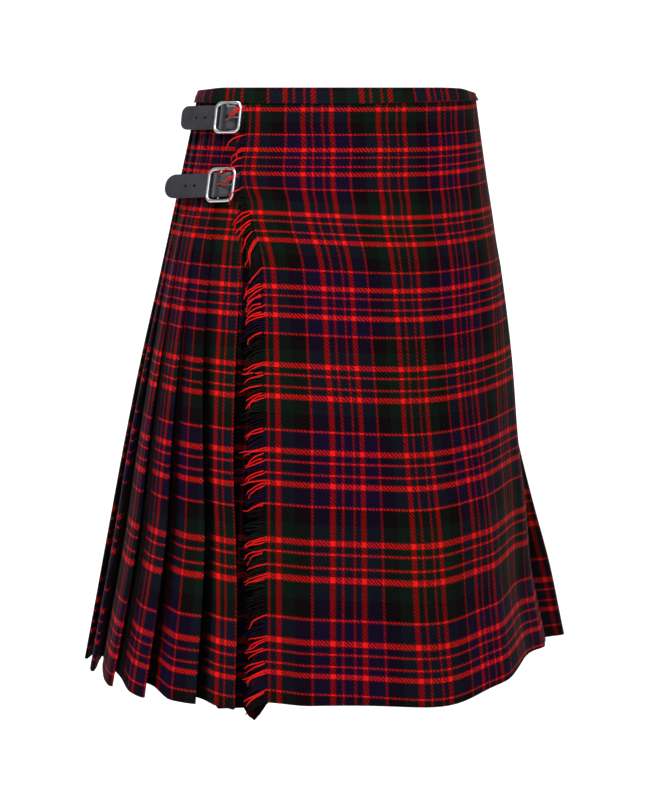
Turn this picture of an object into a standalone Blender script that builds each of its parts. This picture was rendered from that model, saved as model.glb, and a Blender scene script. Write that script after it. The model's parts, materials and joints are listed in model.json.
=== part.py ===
"""Scottish kilt: fringed over apron, knife pleats and two buckled straps. Metres, +Z up.

The origin is the middle of the waist at the height of the upper strap. -Y is the apron side and
+X is the wearer's left. Drop is the distance below the top edge of the cloth. Angles run from the
middle of the front toward +X, and the wrap travels toward falling angles.
"""
import math

import bmesh
import bpy
from mathutils import Matrix, Vector

TOP_EDGE = 0.030
CLOTH_LENGTH = 0.610
CLOTH_WALL = 0.0011
SEAM = 0.0003

PLEAT_COUNT = 24
BAND_DROP = 0.015
BAND_WALL = 0.0010
BAND_CLEAR = 0.0008

STRAND_COUNT = 96
STRAND_LENGTH = 0.0205

STRAP_WIDTH = 0.0240
STRAP_WALL = 0.0020
TAB_WALL = 0.0012
BAR_RADIUS = 0.0011
FRAME_RADIUS = 0.00135
PRONG_RADIUS = 0.0008

# Outermost line of the pleats, as distances from the axis to each side.
BODY_COLUMNS = ("drop", "left", "right", "front", "back", "squareness")
BODY_ROWS = (
    (0.00, 0.1460, 0.1420, 0.1130, 0.1130, 2.00),
    (0.06, 0.1590, 0.1510, 0.1225, 0.1250, 2.00),
    (0.12, 0.1725, 0.1605, 0.1350, 0.1410, 2.00),
    (0.19, 0.1890, 0.1735, 0.1490, 0.1590, 2.05),
    (0.28, 0.2105, 0.1855, 0.1650, 0.1750, 2.15),
    (0.37, 0.2290, 0.2010, 0.1790, 0.1880, 2.30),
    (0.45, 0.2440, 0.2210, 0.1900, 0.1995, 2.40),
    (0.53, 0.2590, 0.2420, 0.2010, 0.2115, 2.50),
    (0.61, 0.2750, 0.2590, 0.2120, 0.2250, 2.50),
)

# Line of the over apron. Centre is how far behind the axis its curve is centred.
APRON_COLUMNS = ("drop", "right", "front", "centre", "across", "hip_angle", "edge")
APRON_ROWS = (
    (0.00, 0.1425, 0.1160, 0.000, -0.0020, 100.0, -0.0885),
    (0.06, 0.1515, 0.1255, 0.001, -0.0038, 99.0, -0.0885),
    (0.10, 0.1580, 0.1330, 0.002, -0.0050, 98.0, -0.0880),
    (0.13, 0.1632, 0.1390, 0.003, -0.0060, 97.5, -0.0842),
    (0.16, 0.1680, 0.1440, 0.004, -0.0070, 97.0, -0.0770),
    (0.19, 0.1735, 0.1490, 0.005, -0.0078, 96.5, -0.0740),
    (0.28, 0.1862, 0.1630, 0.010, -0.0080, 95.0, -0.0722),
    (0.37, 0.1965, 0.1740, 0.016, -0.0060, 93.5, -0.0718),
    (0.45, 0.2080, 0.1820, 0.022, -0.0030, 92.0, -0.0716),
    (0.53, 0.2175, 0.1890, 0.027, -0.0010, 90.0, -0.0715),
    (0.61, 0.2355, 0.1960, 0.030, 0.0000, 87.5, -0.0715),
)

# Soft hanging folds of the over apron: angle, spread in degrees, height at the hem.
APRON_FOLDS = (
    (27.0, 11.0, 0.0130),
    (49.0, 5.0, 0.0035),
    (69.0, 13.0, -0.0140),
    (79.0, 3.5, 0.0040),
    (4.0, 7.0, -0.0015),
    (-9.0, 4.0, 0.0025),
)
FOLDS_START = 0.22

# Angles of the first pleat folds at four levels, with how far each swings out.
PLEAT_COLUMNS = ("waist", "hip", "thigh", "hem", "swing")
PLEAT_ROWS = (
    (-49.6, -34.8, -27.0, -24.6, 0.000),
    (-58.8, -47.6, -36.2, -34.4, -0.004),
    (-67.5, -57.2, -47.2, -47.2, 0.003),
    (-76.2, -66.6, -57.8, -58.0, 0.002),
    (-84.8, -75.2, -70.0, -69.6, 0.000),
    (-93.4, -83.4, -80.0, -79.0, 0.002),
)
PLEAT_LEVELS = (0.0, 0.19, 0.42, 0.61)
HIP_DROP = 0.19

# How deep the pleats are folded: overlap along the wrap, depth inward and bend radius.
DEPTH_COLUMNS = ("drop", "overlap", "depth", "bend")
DEPTH_ROWS = (
    (0.00, 0.0045, 0.0034, 0.00080),
    (0.18, 0.0048, 0.0036, 0.00080),
    (0.23, 0.0080, 0.0058, 0.00090),
    (0.29, 0.0120, 0.0090, 0.00100),
    (0.36, 0.0150, 0.0120, 0.00115),
    (0.44, 0.0180, 0.0145, 0.00130),
    (0.52, 0.0200, 0.0165, 0.00140),
    (0.61, 0.0220, 0.0180, 0.00150),
)

# Under apron: inset from the over apron, and the angle of its free edge.
UNDER_COLUMNS = ("drop", "inset", "edge_angle")
UNDER_ROWS = (
    (0.00, 0.0050, 74.0),
    (0.19, 0.0075, 72.0),
    (0.36, 0.0110, 66.0),
    (0.61, 0.0150, 60.0),
)

PLEAT_DROPS = (0.0, 0.05, 0.12, 0.18, 0.23, 0.29, 0.36, 0.44, 0.52, 0.61)
APRON_DROPS = (0.0, 0.05, 0.09, 0.12, 0.15, 0.18, 0.23, 0.29, 0.36, 0.44, 0.52, 0.57, 0.61)
APRON_SHARES = (0.035, 0.08, 0.125, 0.17, 0.215, 0.26, 0.31, 0.36, 0.41, 0.46, 0.51,
                0.56, 0.61, 0.66, 0.71, 0.76, 0.81, 0.86, 0.91, 0.96, 1.0)

# Straps: height of the middle, angle of the buckle, frame size, reach past it, roundness of the tip
# and how much they fall per unit of length.
STRAP_COLUMNS = ("name", "height", "angle", "wide", "tall", "reach", "round", "slope")
STRAP_ROWS = (
    ("upper", 0.0008, -52.2, 0.0285, 0.0315, 0.0640, 0.0070, 0.020),
    ("lower", -0.0660, -49.2, 0.0300, 0.0345, 0.0765, 0.0115, 0.060),
)
FRAME_LIFT = 0.0058
HOLE_RADIUS = 0.0011
HOLE_PITCH = 0.0122


def named(columns, row):
    return dict(zip(columns, row))


def smooth(columns, rows, key, drop):
    """Value of one column at a drop, on a curve through the rows."""
    place = columns.index(key)
    drops = [row[0] for row in rows]
    values = [row[place] for row in rows]
    last = len(rows) - 1
    if drop <= drops[0]:
        return values[0]
    if drop >= drops[last]:
        return values[last]
    step = 0
    while drops[step + 1] < drop:
        step += 1
    slopes = []
    for at in (step, step + 1):
        low = max(at - 1, 0)
        high = min(at + 1, last)
        slopes.append((values[high] - values[low]) / (drops[high] - drops[low]))
    span = drops[step + 1] - drops[step]
    t = (drop - drops[step]) / span
    rise = values[step + 1] - values[step]
    a = 3 * rise - span * (2 * slopes[0] + slopes[1])
    b = -2 * rise + span * (slopes[0] + slopes[1])
    return values[step] + span * slopes[0] * t + a * t * t + b * t * t * t


def body(key, drop):
    return smooth(BODY_COLUMNS, BODY_ROWS, key, drop)


def apron(key, drop):
    return smooth(APRON_COLUMNS, APRON_ROWS, key, drop)


def depth(key, drop):
    return smooth(DEPTH_COLUMNS, DEPTH_ROWS, key, drop)


def under(key, drop):
    return smooth(UNDER_COLUMNS, UNDER_ROWS, key, drop)


def ease(t):
    t = min(max(t, 0.0), 1.0)
    return t * t * (3 - 2 * t)


def body_line(angle, drop):
    """Plan point of the outermost pleat line."""
    half_wide = (body("left", drop) + body("right", drop)) / 2
    half_deep = (body("front", drop) + body("back", drop)) / 2
    power = body("squareness", drop)
    side = math.sin(math.radians(angle))
    fore = math.cos(math.radians(angle))
    reach = (abs(side / half_wide) ** power + abs(fore / half_deep) ** power) ** (-1 / power)
    x = (body("right", drop) - body("left", drop)) / 2 + reach * side
    y = (body("back", drop) - body("front", drop)) / 2 - reach * fore
    return Vector((x, y))


def body_angle(point, drop):
    """Angle of a plan point about the middle of the pleat line."""
    side = point.x - (body("right", drop) - body("left", drop)) / 2
    fore = (body("back", drop) - body("front", drop)) / 2 - point.y
    return math.degrees(math.atan2(side, fore))


def fold_swell(angle, drop):
    grow = ease((drop - FOLDS_START) / (CLOTH_LENGTH - FOLDS_START))
    swell = 0.0
    for middle, spread, height in APRON_FOLDS:
        swell += height * math.exp(-((angle - middle) / spread) ** 2)
    return swell * grow


def apron_line(angle, drop):
    """Plan point of the over apron."""
    middle = Vector((apron("across", drop), apron("centre", drop)))
    half_wide = apron("right", drop) - middle.x
    half_deep = apron("front", drop) + middle.y
    side = math.sin(math.radians(angle))
    fore = math.cos(math.radians(angle))
    reach = 1 / math.hypot(side / half_wide, fore / half_deep)
    reach += fold_swell(angle, drop)
    return middle + Vector((reach * side, -reach * fore))


def frame_on(line, angle, drop):
    """Point on a line, the direction the wrap travels and the direction into the body."""
    point = line(angle, drop)
    travel = (line(angle - 0.2, drop) - line(angle + 0.2, drop)).normalized()
    inward = Vector((travel.y, -travel.x))
    return point, travel, inward


def edge_angle(drop):
    """Angle of the over apron's free edge."""
    middle_x = apron("across", drop)
    middle_y = apron("centre", drop)
    side = apron("edge", drop) - middle_x
    half_wide = apron("right", drop) - middle_x
    half_deep = apron("front", drop) + middle_y
    fore = half_deep * math.sqrt(1 - (side / half_wide) ** 2)
    return math.degrees(math.atan2(side, fore))


def pleat_angle(index, drop):
    """Angle of one pleat fold: the first few are placed singly, the rest evenly."""
    rows = []
    shown = len(PLEAT_ROWS) - 1
    for level, height in enumerate(PLEAT_LEVELS):
        if index <= shown:
            rows.append((height, PLEAT_ROWS[index][level]))
        else:
            start = PLEAT_ROWS[shown][level]
            end = body_angle(apron_line(apron("hip_angle", height), height), height) - 360.0
            rows.append((height, start + (end - start) * (index - shown) / (PLEAT_COUNT - shown - 0.25)))
    return smooth(("drop", "angle"), rows, "angle", drop)


def pleat_fold(index, drop):
    """Frame at a pleat's outer fold. The last fold belongs to the over apron."""
    if index == PLEAT_COUNT:
        return frame_on(apron_line, apron("hip_angle", drop), drop)
    angle = pleat_angle(index, drop)
    point, travel, inward = frame_on(body_line, angle, drop)
    swing = PLEAT_ROWS[index][4] if index < len(PLEAT_ROWS) else 0.0015 * math.sin(2.1 * index)
    grow = ease((drop - HIP_DROP) / (CLOTH_LENGTH - HIP_DROP))
    return point - inward * swing * grow, travel, inward


def at(frame, along, inside):
    point, travel, inward = frame
    return point + travel * along + inward * inside


def tuck(index, drop):
    """Overlap and depth of one pleat. The last one before the over apron is tucked less."""
    share = 1.0
    if index == PLEAT_COUNT - 1:
        share = 1.0 - 0.58 * ease((drop - HIP_DROP) / 0.25)
    return depth("overlap", drop) * share, depth("depth", drop) * share


def inner_fold(index, drop):
    """Three points of the hidden fold beneath an outer fold, in travel order."""
    frame = pleat_fold(index, drop)
    overlap, deep = tuck(index, drop)
    bend = depth("bend", drop)
    return [
        at(frame, overlap - bend, deep),
        at(frame, overlap, deep - bend),
        at(frame, overlap - bend, deep - 2 * bend),
    ]


def outer_fold(index, drop):
    """Three points of an outer fold, in travel order."""
    frame = pleat_fold(index, drop)
    bend = depth("bend", drop)
    return [at(frame, bend, 2 * bend), at(frame, 0, bend), at(frame, bend, 0)]


def strip_points(index, drop):
    """Two points across the visible strip between one fold and the next."""
    overlap, deep = tuck(index + 1, drop)
    here = pleat_fold(index, drop)
    after = pleat_fold(index + 1, drop)
    width = (after[0] - here[0]).length
    least = 3.9 * depth("bend", drop)
    sunk = max(deep * width / (width + overlap), least)
    points = []
    for share in (0.30, 0.78):
        start = at(here, depth("bend", drop), 0)
        end = at(after, 0, sunk)
        point = start.lerp(end, share)
        bow = 1.4 * share * (1 - share) * (sunk - least) + 0.0022 * share * (1 - share)
        points.append(point - here[2].lerp(after[2], share) * bow)
    if index == PLEAT_COUNT - 1:
        turned = at(here, 0.36 * width, 0.0008)
        points[0] = points[0].lerp(turned, ease((drop - HIP_DROP) / 0.15))
    return points


def seam_in_fold(index, drop):
    """Middle of the hidden leg behind an outer fold, where two pieces are joined."""
    return inner_fold(index, drop)[2].lerp(outer_fold(index, drop)[0], 0.5)


def pleat_start(drop):
    """Where the under apron meets the first pleat, hidden behind its outer fold."""
    grow = ease((drop - HIP_DROP) / (CLOTH_LENGTH - HIP_DROP))
    inside = depth("depth", drop) - 0.4 * depth("bend", drop) + 0.0110 * grow
    return at(pleat_fold(0, drop), -0.0030, inside)


def pleat_path(first, last, drop):
    """Plan points of a run of pleats, from the hidden fold of the first to that of the last."""
    points = inner_fold(first, drop)
    for index in range(first, last):
        points += outer_fold(index, drop)
        points += strip_points(index, drop)
        points += inner_fold(index + 1, drop)
    return points


def collection(name):
    made = bpy.data.collections.new(name)
    bpy.context.scene.collection.children.link(made)
    return made


def material(name, colour, roughness, metallic=0.0):
    made = bpy.data.materials.new(name)
    made.use_nodes = True
    shader = made.node_tree.nodes["Principled BSDF"]
    shader.inputs["Base Color"].default_value = (*colour, 1.0)
    shader.inputs["Roughness"].default_value = roughness
    shader.inputs["Metallic"].default_value = metallic
    return made


def place(mesh_object, group, finish):
    group.objects.link(mesh_object)
    mesh_object.data.materials.append(finish)
    return mesh_object


def grid_sheet(name, across, down, point, wall, group, finish):
    """Grid of across x down cells laid on point(column, row), then given its wall."""
    mesh = bpy.data.meshes.new(name)
    shape = bmesh.new()
    bmesh.ops.create_grid(shape, x_segments=across, y_segments=down, size=0.5)
    for vert in shape.verts:
        column = round((vert.co.x + 0.5) * across)
        row = round((0.5 - vert.co.y) * down)
        vert.co = point(column, row)
    bmesh.ops.recalc_face_normals(shape, faces=shape.faces)
    shape.to_mesh(mesh)
    shape.free()
    made = place(bpy.data.objects.new(name, mesh), group, finish)
    thicken = made.modifiers.new("wall", "SOLIDIFY")
    thicken.thickness = wall
    thicken.offset = 0.0
    thicken.use_even_offset = True
    return made


def hang(plan, drop):
    return Vector((plan.x, plan.y, TOP_EDGE - drop))


def cloth_sheet(name, paths, drops, group, finish):
    def point(column, row):
        return hang(paths[row][column], drops[row])

    return grid_sheet(name, len(paths[0]) - 1, len(drops) - 1, point, CLOTH_WALL, group, finish)


def shorten_start(points, gap):
    step = points[1] - points[0]
    return [points[0] + step.normalized() * gap] + points[1:]


def hip_fold(drop):
    """Folded edge of the over apron, straight between the rows of the pleats it is joined to."""
    step = 0
    while PLEAT_DROPS[step + 1] < drop:
        step += 1
    low, high = PLEAT_DROPS[step], PLEAT_DROPS[step + 1]
    ends = []
    for level in (low, high):
        path = [seam_in_fold(PLEAT_COUNT, level)] + outer_fold(PLEAT_COUNT, level)
        ends.append(shorten_start(path, SEAM))
    share = (drop - low) / (high - low)
    return [above.lerp(below, share) for above, below in zip(*ends)]


def over_apron_path(drop):
    """From the seam in the hip fold round the front to the free edge."""
    path = hip_fold(drop)
    start = apron("hip_angle", drop)
    end = edge_angle(drop)
    for share in APRON_SHARES:
        path.append(apron_line(start + (end - start) * share, drop))
    return path


def under_apron_path(drop):
    """From its free edge inside the far hip to the seam beneath the first pleat."""
    target = pleat_start(drop)
    start = under("edge_angle", drop)
    end = math.degrees(math.atan2(target.x - apron("across", drop), apron("centre", drop) - target.y))
    finish_point = at(frame_on(apron_line, end, drop), 0, under("inset", drop))
    path = []
    cells = 18
    for step in range(cells + 1):
        angle = start + (end - start) * step / cells
        point = at(frame_on(apron_line, angle, drop), 0, under("inset", drop))
        blend = ease((end + 10.0 - angle) / 10.0)
        path.append(point + (target - finish_point) * blend)
    back = (path[-2] - path[-1]).normalized()
    path[-1] = path[-1] + back * SEAM
    return path


def band_stations(drop):
    """Places along the wrap at a drop: plan point, inward, outer leg and inner leg offsets."""
    leg = CLOTH_WALL / 2 + BAND_CLEAR + BAND_WALL / 2
    deep = depth("depth", drop) + leg
    stations = []
    path = under_apron_path(drop)
    for low, high in zip(path[:-1], path[1:]):
        travel = (high - low).normalized()
        stations.append((low, Vector((travel.y, -travel.x)), -leg, leg))
    first = pleat_fold(0, drop)
    start = depth("depth", drop) - 0.4 * depth("bend", drop)
    stations.append((at(first, -0.0058, 0), first[2], start - leg, start + leg))
    stations.append((at(first, -0.0018, 0), first[2], -leg, deep))
    for index in range(PLEAT_COUNT):
        here = pleat_fold(index, drop)
        after = pleat_fold(index + 1, drop)
        if index > 0:
            stations.append((here[0], here[2], -leg, deep))
        halfway = (pleat_angle(index, drop) + pleat_angle(index + 1, drop)) / 2
        point, travel, inward = frame_on(body_line, halfway, drop)
        stations.append((point, inward, -leg, deep))
    last = pleat_fold(PLEAT_COUNT, drop)
    stations.append((at(last, 0.0002, 0), last[2], -leg, deep))
    stations.append((at(last, 0.0070, 0), last[2], -leg, deep))
    hip = apron("hip_angle", drop)
    edge = edge_angle(drop)
    for share in APRON_SHARES[1:]:
        point, travel, inward = frame_on(apron_line, hip + (edge - hip) * share, drop)
        stations.append((point, inward, -leg, leg))
    return stations


def band_level(drop):
    """Stations at a drop, straight between the first two rows of the cloth."""
    share = drop / PLEAT_DROPS[1]
    level = []
    for high, low in zip(band_stations(0.0), band_stations(PLEAT_DROPS[1])):
        plan = high[0].lerp(low[0], share)
        inward = high[1].lerp(low[1], share)
        level.append((plan, inward, high[2], high[3]))
    return level


def waistband(group, finish):
    low = band_level(BAND_DROP)
    mid = band_level(0.75 * BAND_DROP)
    high = band_level(0.0)
    crown = TOP_EDGE + SEAM + BAND_WALL

    def point(column, row):
        stations, side, height, leaning = (
            (low, 2, TOP_EDGE - BAND_DROP, 0.0),
            (high, 2, TOP_EDGE - 0.0001, 0.0),
            (high, 2, crown + 0.0012, 0.0012),
            (high, 3, crown + 0.0012, -0.0010),
            (high, 3, TOP_EDGE - 0.0001, 0.0),
            (mid, 3, TOP_EDGE - 0.75 * BAND_DROP, 0.0),
        )[row]
        plan = stations[column][0] + stations[column][1] * (stations[column][side] + leaning)
        return Vector((plan.x, plan.y, height))

    return grid_sheet("waistband", len(low) - 1, 5, point, BAND_WALL, group, finish)


def edge_frame(drop):
    """Frame on the over apron's free edge, straight between the rows of its sheet."""
    step = 0
    while APRON_DROPS[step + 1] < drop and step < len(APRON_DROPS) - 2:
        step += 1
    low, high = APRON_DROPS[step], APRON_DROPS[step + 1]
    share = (drop - low) / (high - low)
    above = frame_on(apron_line, edge_angle(low), low)
    below = frame_on(apron_line, edge_angle(high), high)
    return tuple(first.lerp(second, share) for first, second in zip(above, below))


def fringe(group, finish):
    """Narrow heading along the free edge, with strands drawn out of every other face."""
    mesh = bpy.data.meshes.new("fringe")
    shape = bmesh.new()
    cells = 2 * STRAND_COUNT
    start = 0.017
    length = CLOTH_LENGTH - start
    bmesh.ops.create_grid(shape, x_segments=1, y_segments=cells, size=0.5)

    for vert in shape.verts:
        drop = start + (0.5 - vert.co.y) * length
        along = SEAM + 0.0012 * (vert.co.x + 0.5)
        vert.co = hang(at(edge_frame(drop), along, -0.5 * CLOTH_WALL), drop)
    faces = list(shape.faces)
    grown = bmesh.ops.extrude_face_region(shape, geom=faces)
    for item in grown["geom"]:
        if isinstance(item, bmesh.types.BMVert):
            drop = TOP_EDGE - item.co.z
            inward = edge_frame(drop)[2]
            item.co += Vector((inward.x, inward.y, 0)) * CLOTH_WALL
    bmesh.ops.recalc_face_normals(shape, faces=shape.faces)
    tips = []
    for face in shape.faces:
        middle = face.calc_center_median()
        drop = TOP_EDGE - middle.z
        point, travel, inward = edge_frame(drop)
        if (Vector((middle.x, middle.y)) - point).dot(travel) > SEAM + 0.0011:
            tips.append((drop, face))
    tips.sort(key=lambda pair: pair[0])
    for count, (drop, face) in enumerate(tips[::2]):
        draw_strand(shape, face, count, drop, edge_frame(drop))
    shape.to_mesh(mesh)
    shape.free()
    return place(bpy.data.objects.new("fringe", mesh), group, finish)


def draw_strand(shape, face, count, drop, frame):
    """Pull one strand out of a face of the heading: outward, then drooping."""
    point, travel, inward = frame
    away = Vector((travel.x, travel.y, 0))
    out = Vector((-inward.x, -inward.y, 0))
    wave = math.sin(count * 1.9) + 0.6 * math.sin(count * 0.73 + 1.0)
    droop = 0.55 + 0.20 * wave
    if 0.12 < drop < 0.185:
        droop = 1.5 + 0.15 * wave
    low = ease((drop - 0.56) / 0.05)
    droop = droop * (1 - low) + (0.15 + 0.1 * wave) * low
    lift = 0.0012 + 0.0005 * wave + 0.0066 * ease((drop - 0.14) / 0.17)
    for row in STRAP_ROWS:
        strap = named(STRAP_COLUMNS, row)
        near = abs(TOP_EDGE - drop - strap["height"]) / (strap["tall"] / 2 + 0.006)
        lift += 0.0084 * ease(1.8 - near)
    shares = ((0.40, 0.30, 0.8), (0.34, 0.75, 0.6), (0.26, 1.15, -0.1))
    thin = (0.55, 0.9, 0.7)
    tip = face
    for (share, fall, rise), slim in zip(shares, thin):
        reach = STRAND_LENGTH * share
        side = reach / math.hypot(1.0, fall * droop)
        step = away * side + Vector((0, 0, -side * fall * droop)) + out * (lift * rise)
        grown = bmesh.ops.extrude_discrete_faces(shape, faces=[tip])
        tip = grown["faces"][0]
        bmesh.ops.translate(shape, verts=tip.verts, vec=step)
        middle = tip.calc_center_median()
        bmesh.ops.scale(shape, verts=tip.verts, vec=(slim, slim, slim), space=Matrix.Translation(-middle))


def strap_frame(strap):
    """Frame at a buckle: its middle, the direction to the strap's tip and the outward direction."""
    drop = TOP_EDGE - strap["height"]
    point, travel, inward = frame_on(body_line, strap["angle"], drop)
    middle = at((point, travel, inward), 0, -FRAME_LIFT)
    higher = body_line(strap["angle"], drop - STRAP_WIDTH / 2)
    lower = body_line(strap["angle"], drop + STRAP_WIDTH / 2)
    lean = (higher - lower).dot(-inward) / STRAP_WIDTH
    tilt = (strap["slope"], lean)
    return Vector((middle.x, middle.y, strap["height"])), travel, -inward, tilt


def from_frame(frame, along, out, up):
    """Point near a buckle: along the strap, out from the cloth and up, on the slope of the cloth."""
    middle, travel, outward, tilt = frame
    slope, lean = tilt
    plan = travel * along + outward * (out + up * lean)
    return Vector((middle.x + plan.x, middle.y + plan.y, middle.z + up - along * slope))


def hidden_end(strap, frame):
    """Side view of the strap's sewn end, between the two aprons."""
    middle, travel, outward, tilt = frame
    drop = TOP_EDGE - strap["height"]
    edge = edge_angle(drop)
    points = []
    for past, inset in ((5.5, 0.0028), (3.0, 0.0029), (0.8, 0.0031), (-1.6, 0.0027)):
        plan = at(frame_on(apron_line, edge + past, drop), 0, inset)
        offset = plan - Vector((middle.x, middle.y))
        points.append((offset.dot(travel), offset.dot(outward)))
    return tuple(points)


def strap_run(strap, frame):
    """Side view of a strap: distance along it and height over the buckle's plane."""
    half = strap["wide"] / 2
    under_bar = -(FRAME_RADIUS + 0.0004 + STRAP_WALL / 2)
    over_bar = BAR_RADIUS + 0.0003 + 2 * PRONG_RADIUS + 0.0003 + STRAP_WALL / 2
    reach = strap["reach"]
    return hidden_end(strap, frame) + (
        (-half - 0.0060, under_bar - 0.0009),
        (-half, under_bar),
        (-0.76 * half, under_bar + 0.0003),
        (-0.50 * half, 0.0004),
        (-0.26 * half, over_bar - 0.0010),
        (0.0, over_bar),
        (0.26 * half, over_bar - 0.0010),
        (0.50 * half, 0.0004),
        (0.76 * half, under_bar + 0.0003),
        (half, under_bar),
        (half + 0.0060, under_bar + 0.0002),
        (half + 0.0200, under_bar + 0.0002),
        (reach - strap["round"], under_bar + 0.0002),
        (reach - 0.45 * strap["round"], under_bar + 0.0002),
        (reach - 0.12 * strap["round"], under_bar + 0.0002),
        (reach, under_bar + 0.0002),
    )


def tip_narrowing(strap, along):
    """Half width of a strap, drawn in round its tip."""
    start = strap["reach"] - strap["round"]
    if along <= start:
        return STRAP_WIDTH / 2
    share = (along - start) / strap["round"]
    return STRAP_WIDTH / 2 - strap["round"] * (1 - math.sqrt(max(1 - share * share, 0.0))) * 0.86


def cut(target, cutter):
    bite = target.modifiers.new("cut", "BOOLEAN")
    bite.operation = "DIFFERENCE"
    bite.solver = "EXACT"
    bite.object = cutter
    cutter.hide_render = True
    cutter.display_type = "WIRE"


def peg(name, frame, along, radius, length, group):
    """Upright peg across a strap, used to cut its holes."""
    mesh = bpy.data.meshes.new(name)
    shape = bmesh.new()
    bmesh.ops.create_cone(shape, cap_ends=True, segments=8, radius1=radius, radius2=radius, depth=length)
    outward = frame[2]
    turn = Vector((0, 0, 1)).rotation_difference(Vector((outward.x, outward.y, 0))).to_matrix().to_4x4()
    spot = Matrix.Translation(from_frame(frame, along, 0.0, 0.0))
    bmesh.ops.transform(shape, matrix=spot @ turn, verts=shape.verts)
    shape.to_mesh(mesh)
    shape.free()
    made = bpy.data.objects.new(name, mesh)
    group.objects.link(made)
    return made


def strap_leather(strap, frame, group, cutters, finish):
    run = strap_run(strap, frame)
    name = strap["name"]

    def point(column, row):
        along, out = run[column]
        half = tip_narrowing(strap, along)
        return from_frame(frame, along, out, half * (1 - row))

    made = grid_sheet(name + "_strap", len(run) - 1, 2, point, STRAP_WALL, group, finish)
    holes = [strap["wide"] / 2 + 0.0085 + HOLE_PITCH * step for step in range(2)]
    for count, along in enumerate(holes):
        cut(made, peg(f"{name}_hole_{count}", frame, along, HOLE_RADIUS, 0.02, cutters))
    cut(made, peg(f"{name}_prong_hole", frame, -0.0046, 0.0019, 0.02, cutters))
    return made


def tab_leather(strap, frame, group, cutters, finish):
    """Short leather that holds the buckle: it comes from the pleats and hooks round the middle bar."""
    ring = BAR_RADIUS + 0.0002 + TAB_WALL / 2
    floor = -FRAME_LIFT + CLOTH_WALL / 2 + 0.0003 + TAB_WALL / 2
    run = [(0.0235, floor - 0.0012), (0.0150, floor - 0.0002), (0.0095, floor), (0.0045, -ring - 0.0010)]
    for turn in (-90, -45, 0, 45, 90, 130):
        swing = math.radians(turn)
        run.append((-ring * math.cos(swing), ring * math.sin(swing)))
    half = STRAP_WIDTH / 2 - 0.0016

    def point(column, row):
        along, out = run[column]
        return from_frame(frame, along, out, half * (1 - row))

    made = grid_sheet(strap["name"] + "_tab", len(run) - 1, 2, point, TAB_WALL, group, finish)
    slot = bpy.data.meshes.new("slot")
    shape = bmesh.new()
    bmesh.ops.create_cube(shape, size=1.0)
    travel = frame[1]
    outward = frame[2]
    turn = Matrix((
        (travel.x, outward.x, 0, 0),
        (travel.y, outward.y, 0, 0),
        (0, 0, 1, 0),
        (0, 0, 0, 1),
    ))
    spot = Matrix.Translation(from_frame(frame, 0.0, 0.0, 0.0))
    size = Matrix.Diagonal((0.0080, 0.0150, 0.0034, 1.0))
    bmesh.ops.transform(shape, matrix=spot @ turn @ size, verts=shape.verts)
    bmesh.ops.recalc_face_normals(shape, faces=shape.faces)
    shape.to_mesh(slot)
    shape.free()
    cutter = bpy.data.objects.new(strap["name"] + "_slot", slot)
    cutters.objects.link(cutter)
    cut(made, cutter)
    return made


def wire(name, points, radius, closed, sides, group, finish):
    """Round wire through points, with filled ends when open."""
    curve = bpy.data.curves.new(name, "CURVE")
    curve.dimensions = "3D"
    curve.bevel_depth = radius
    curve.bevel_resolution = sides
    curve.resolution_u = 1
    curve.use_fill_caps = True
    line = curve.splines.new("POLY")
    line.points.add(len(points) - 1)
    for spot, point in zip(line.points, points):
        spot.co = (*point, 1.0)
    line.use_cyclic_u = closed
    drawn = bpy.data.objects.new(name + "_curve", curve)
    bpy.context.scene.collection.objects.link(drawn)
    mesh = bpy.data.meshes.new_from_object(drawn)
    mesh.name = name
    bpy.data.objects.remove(drawn)
    shape = bmesh.new()
    shape.from_mesh(mesh)
    bmesh.ops.remove_doubles(shape, verts=shape.verts, dist=1e-6)
    shape.to_mesh(mesh)
    shape.free()
    return place(bpy.data.objects.new(name, mesh), group, finish)


def buckle(strap, frame, group, finish):
    """Rounded frame, with its middle bar joined to it."""
    half_wide = strap["wide"] / 2
    half_tall = strap["tall"] / 2 - FRAME_RADIUS
    corner = 0.0062
    points = []
    for side_x, side_z, first in ((1, 1, 0), (-1, 1, 90), (-1, -1, 180), (1, -1, 270)):
        for step in range(4):
            swing = math.radians(first + 30 * step)
            along = side_x * (half_wide - corner) + corner * math.cos(swing)
            up = side_z * (half_tall - corner) + corner * math.sin(swing)
            points.append(from_frame(frame, along, 0.0, up))
    made = wire(strap["name"] + "_buckle", points, FRAME_RADIUS, True, 1, group, finish)
    ends = [from_frame(frame, 0.0, 0.0, side * half_tall) for side in (-1, 1)]
    bar = wire(strap["name"] + "_bar", ends, BAR_RADIUS, False, 1, group, finish)
    join = made.modifiers.new("bar", "BOOLEAN")
    join.operation = "UNION"
    join.solver = "EXACT"
    join.object = bar
    return made, bar


def prong(strap, frame, group, finish):
    """Tongue hooked round the middle bar, up through its hole and over the far side of the frame."""
    ring = BAR_RADIUS + 0.0003 + PRONG_RADIUS
    half = strap["wide"] / 2
    run = []
    for turn in (150, 110, 60, 10, -40, -90, -140):
        swing = math.radians(turn)
        run.append((ring * math.cos(swing), ring * math.sin(swing)))
    run += [
        (-0.0036, -0.0004),
        (-0.0046, 0.0020),
        (-0.0056, 0.0046),
        (-0.0080, 0.0054),
        (-half - 0.0006, FRAME_RADIUS + PRONG_RADIUS + 0.0003),
    ]
    points = [from_frame(frame, along, out, 0.0) for along, out in run]
    return wire(strap["name"] + "_prong", points, PRONG_RADIUS, False, 1, group, finish)


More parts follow.
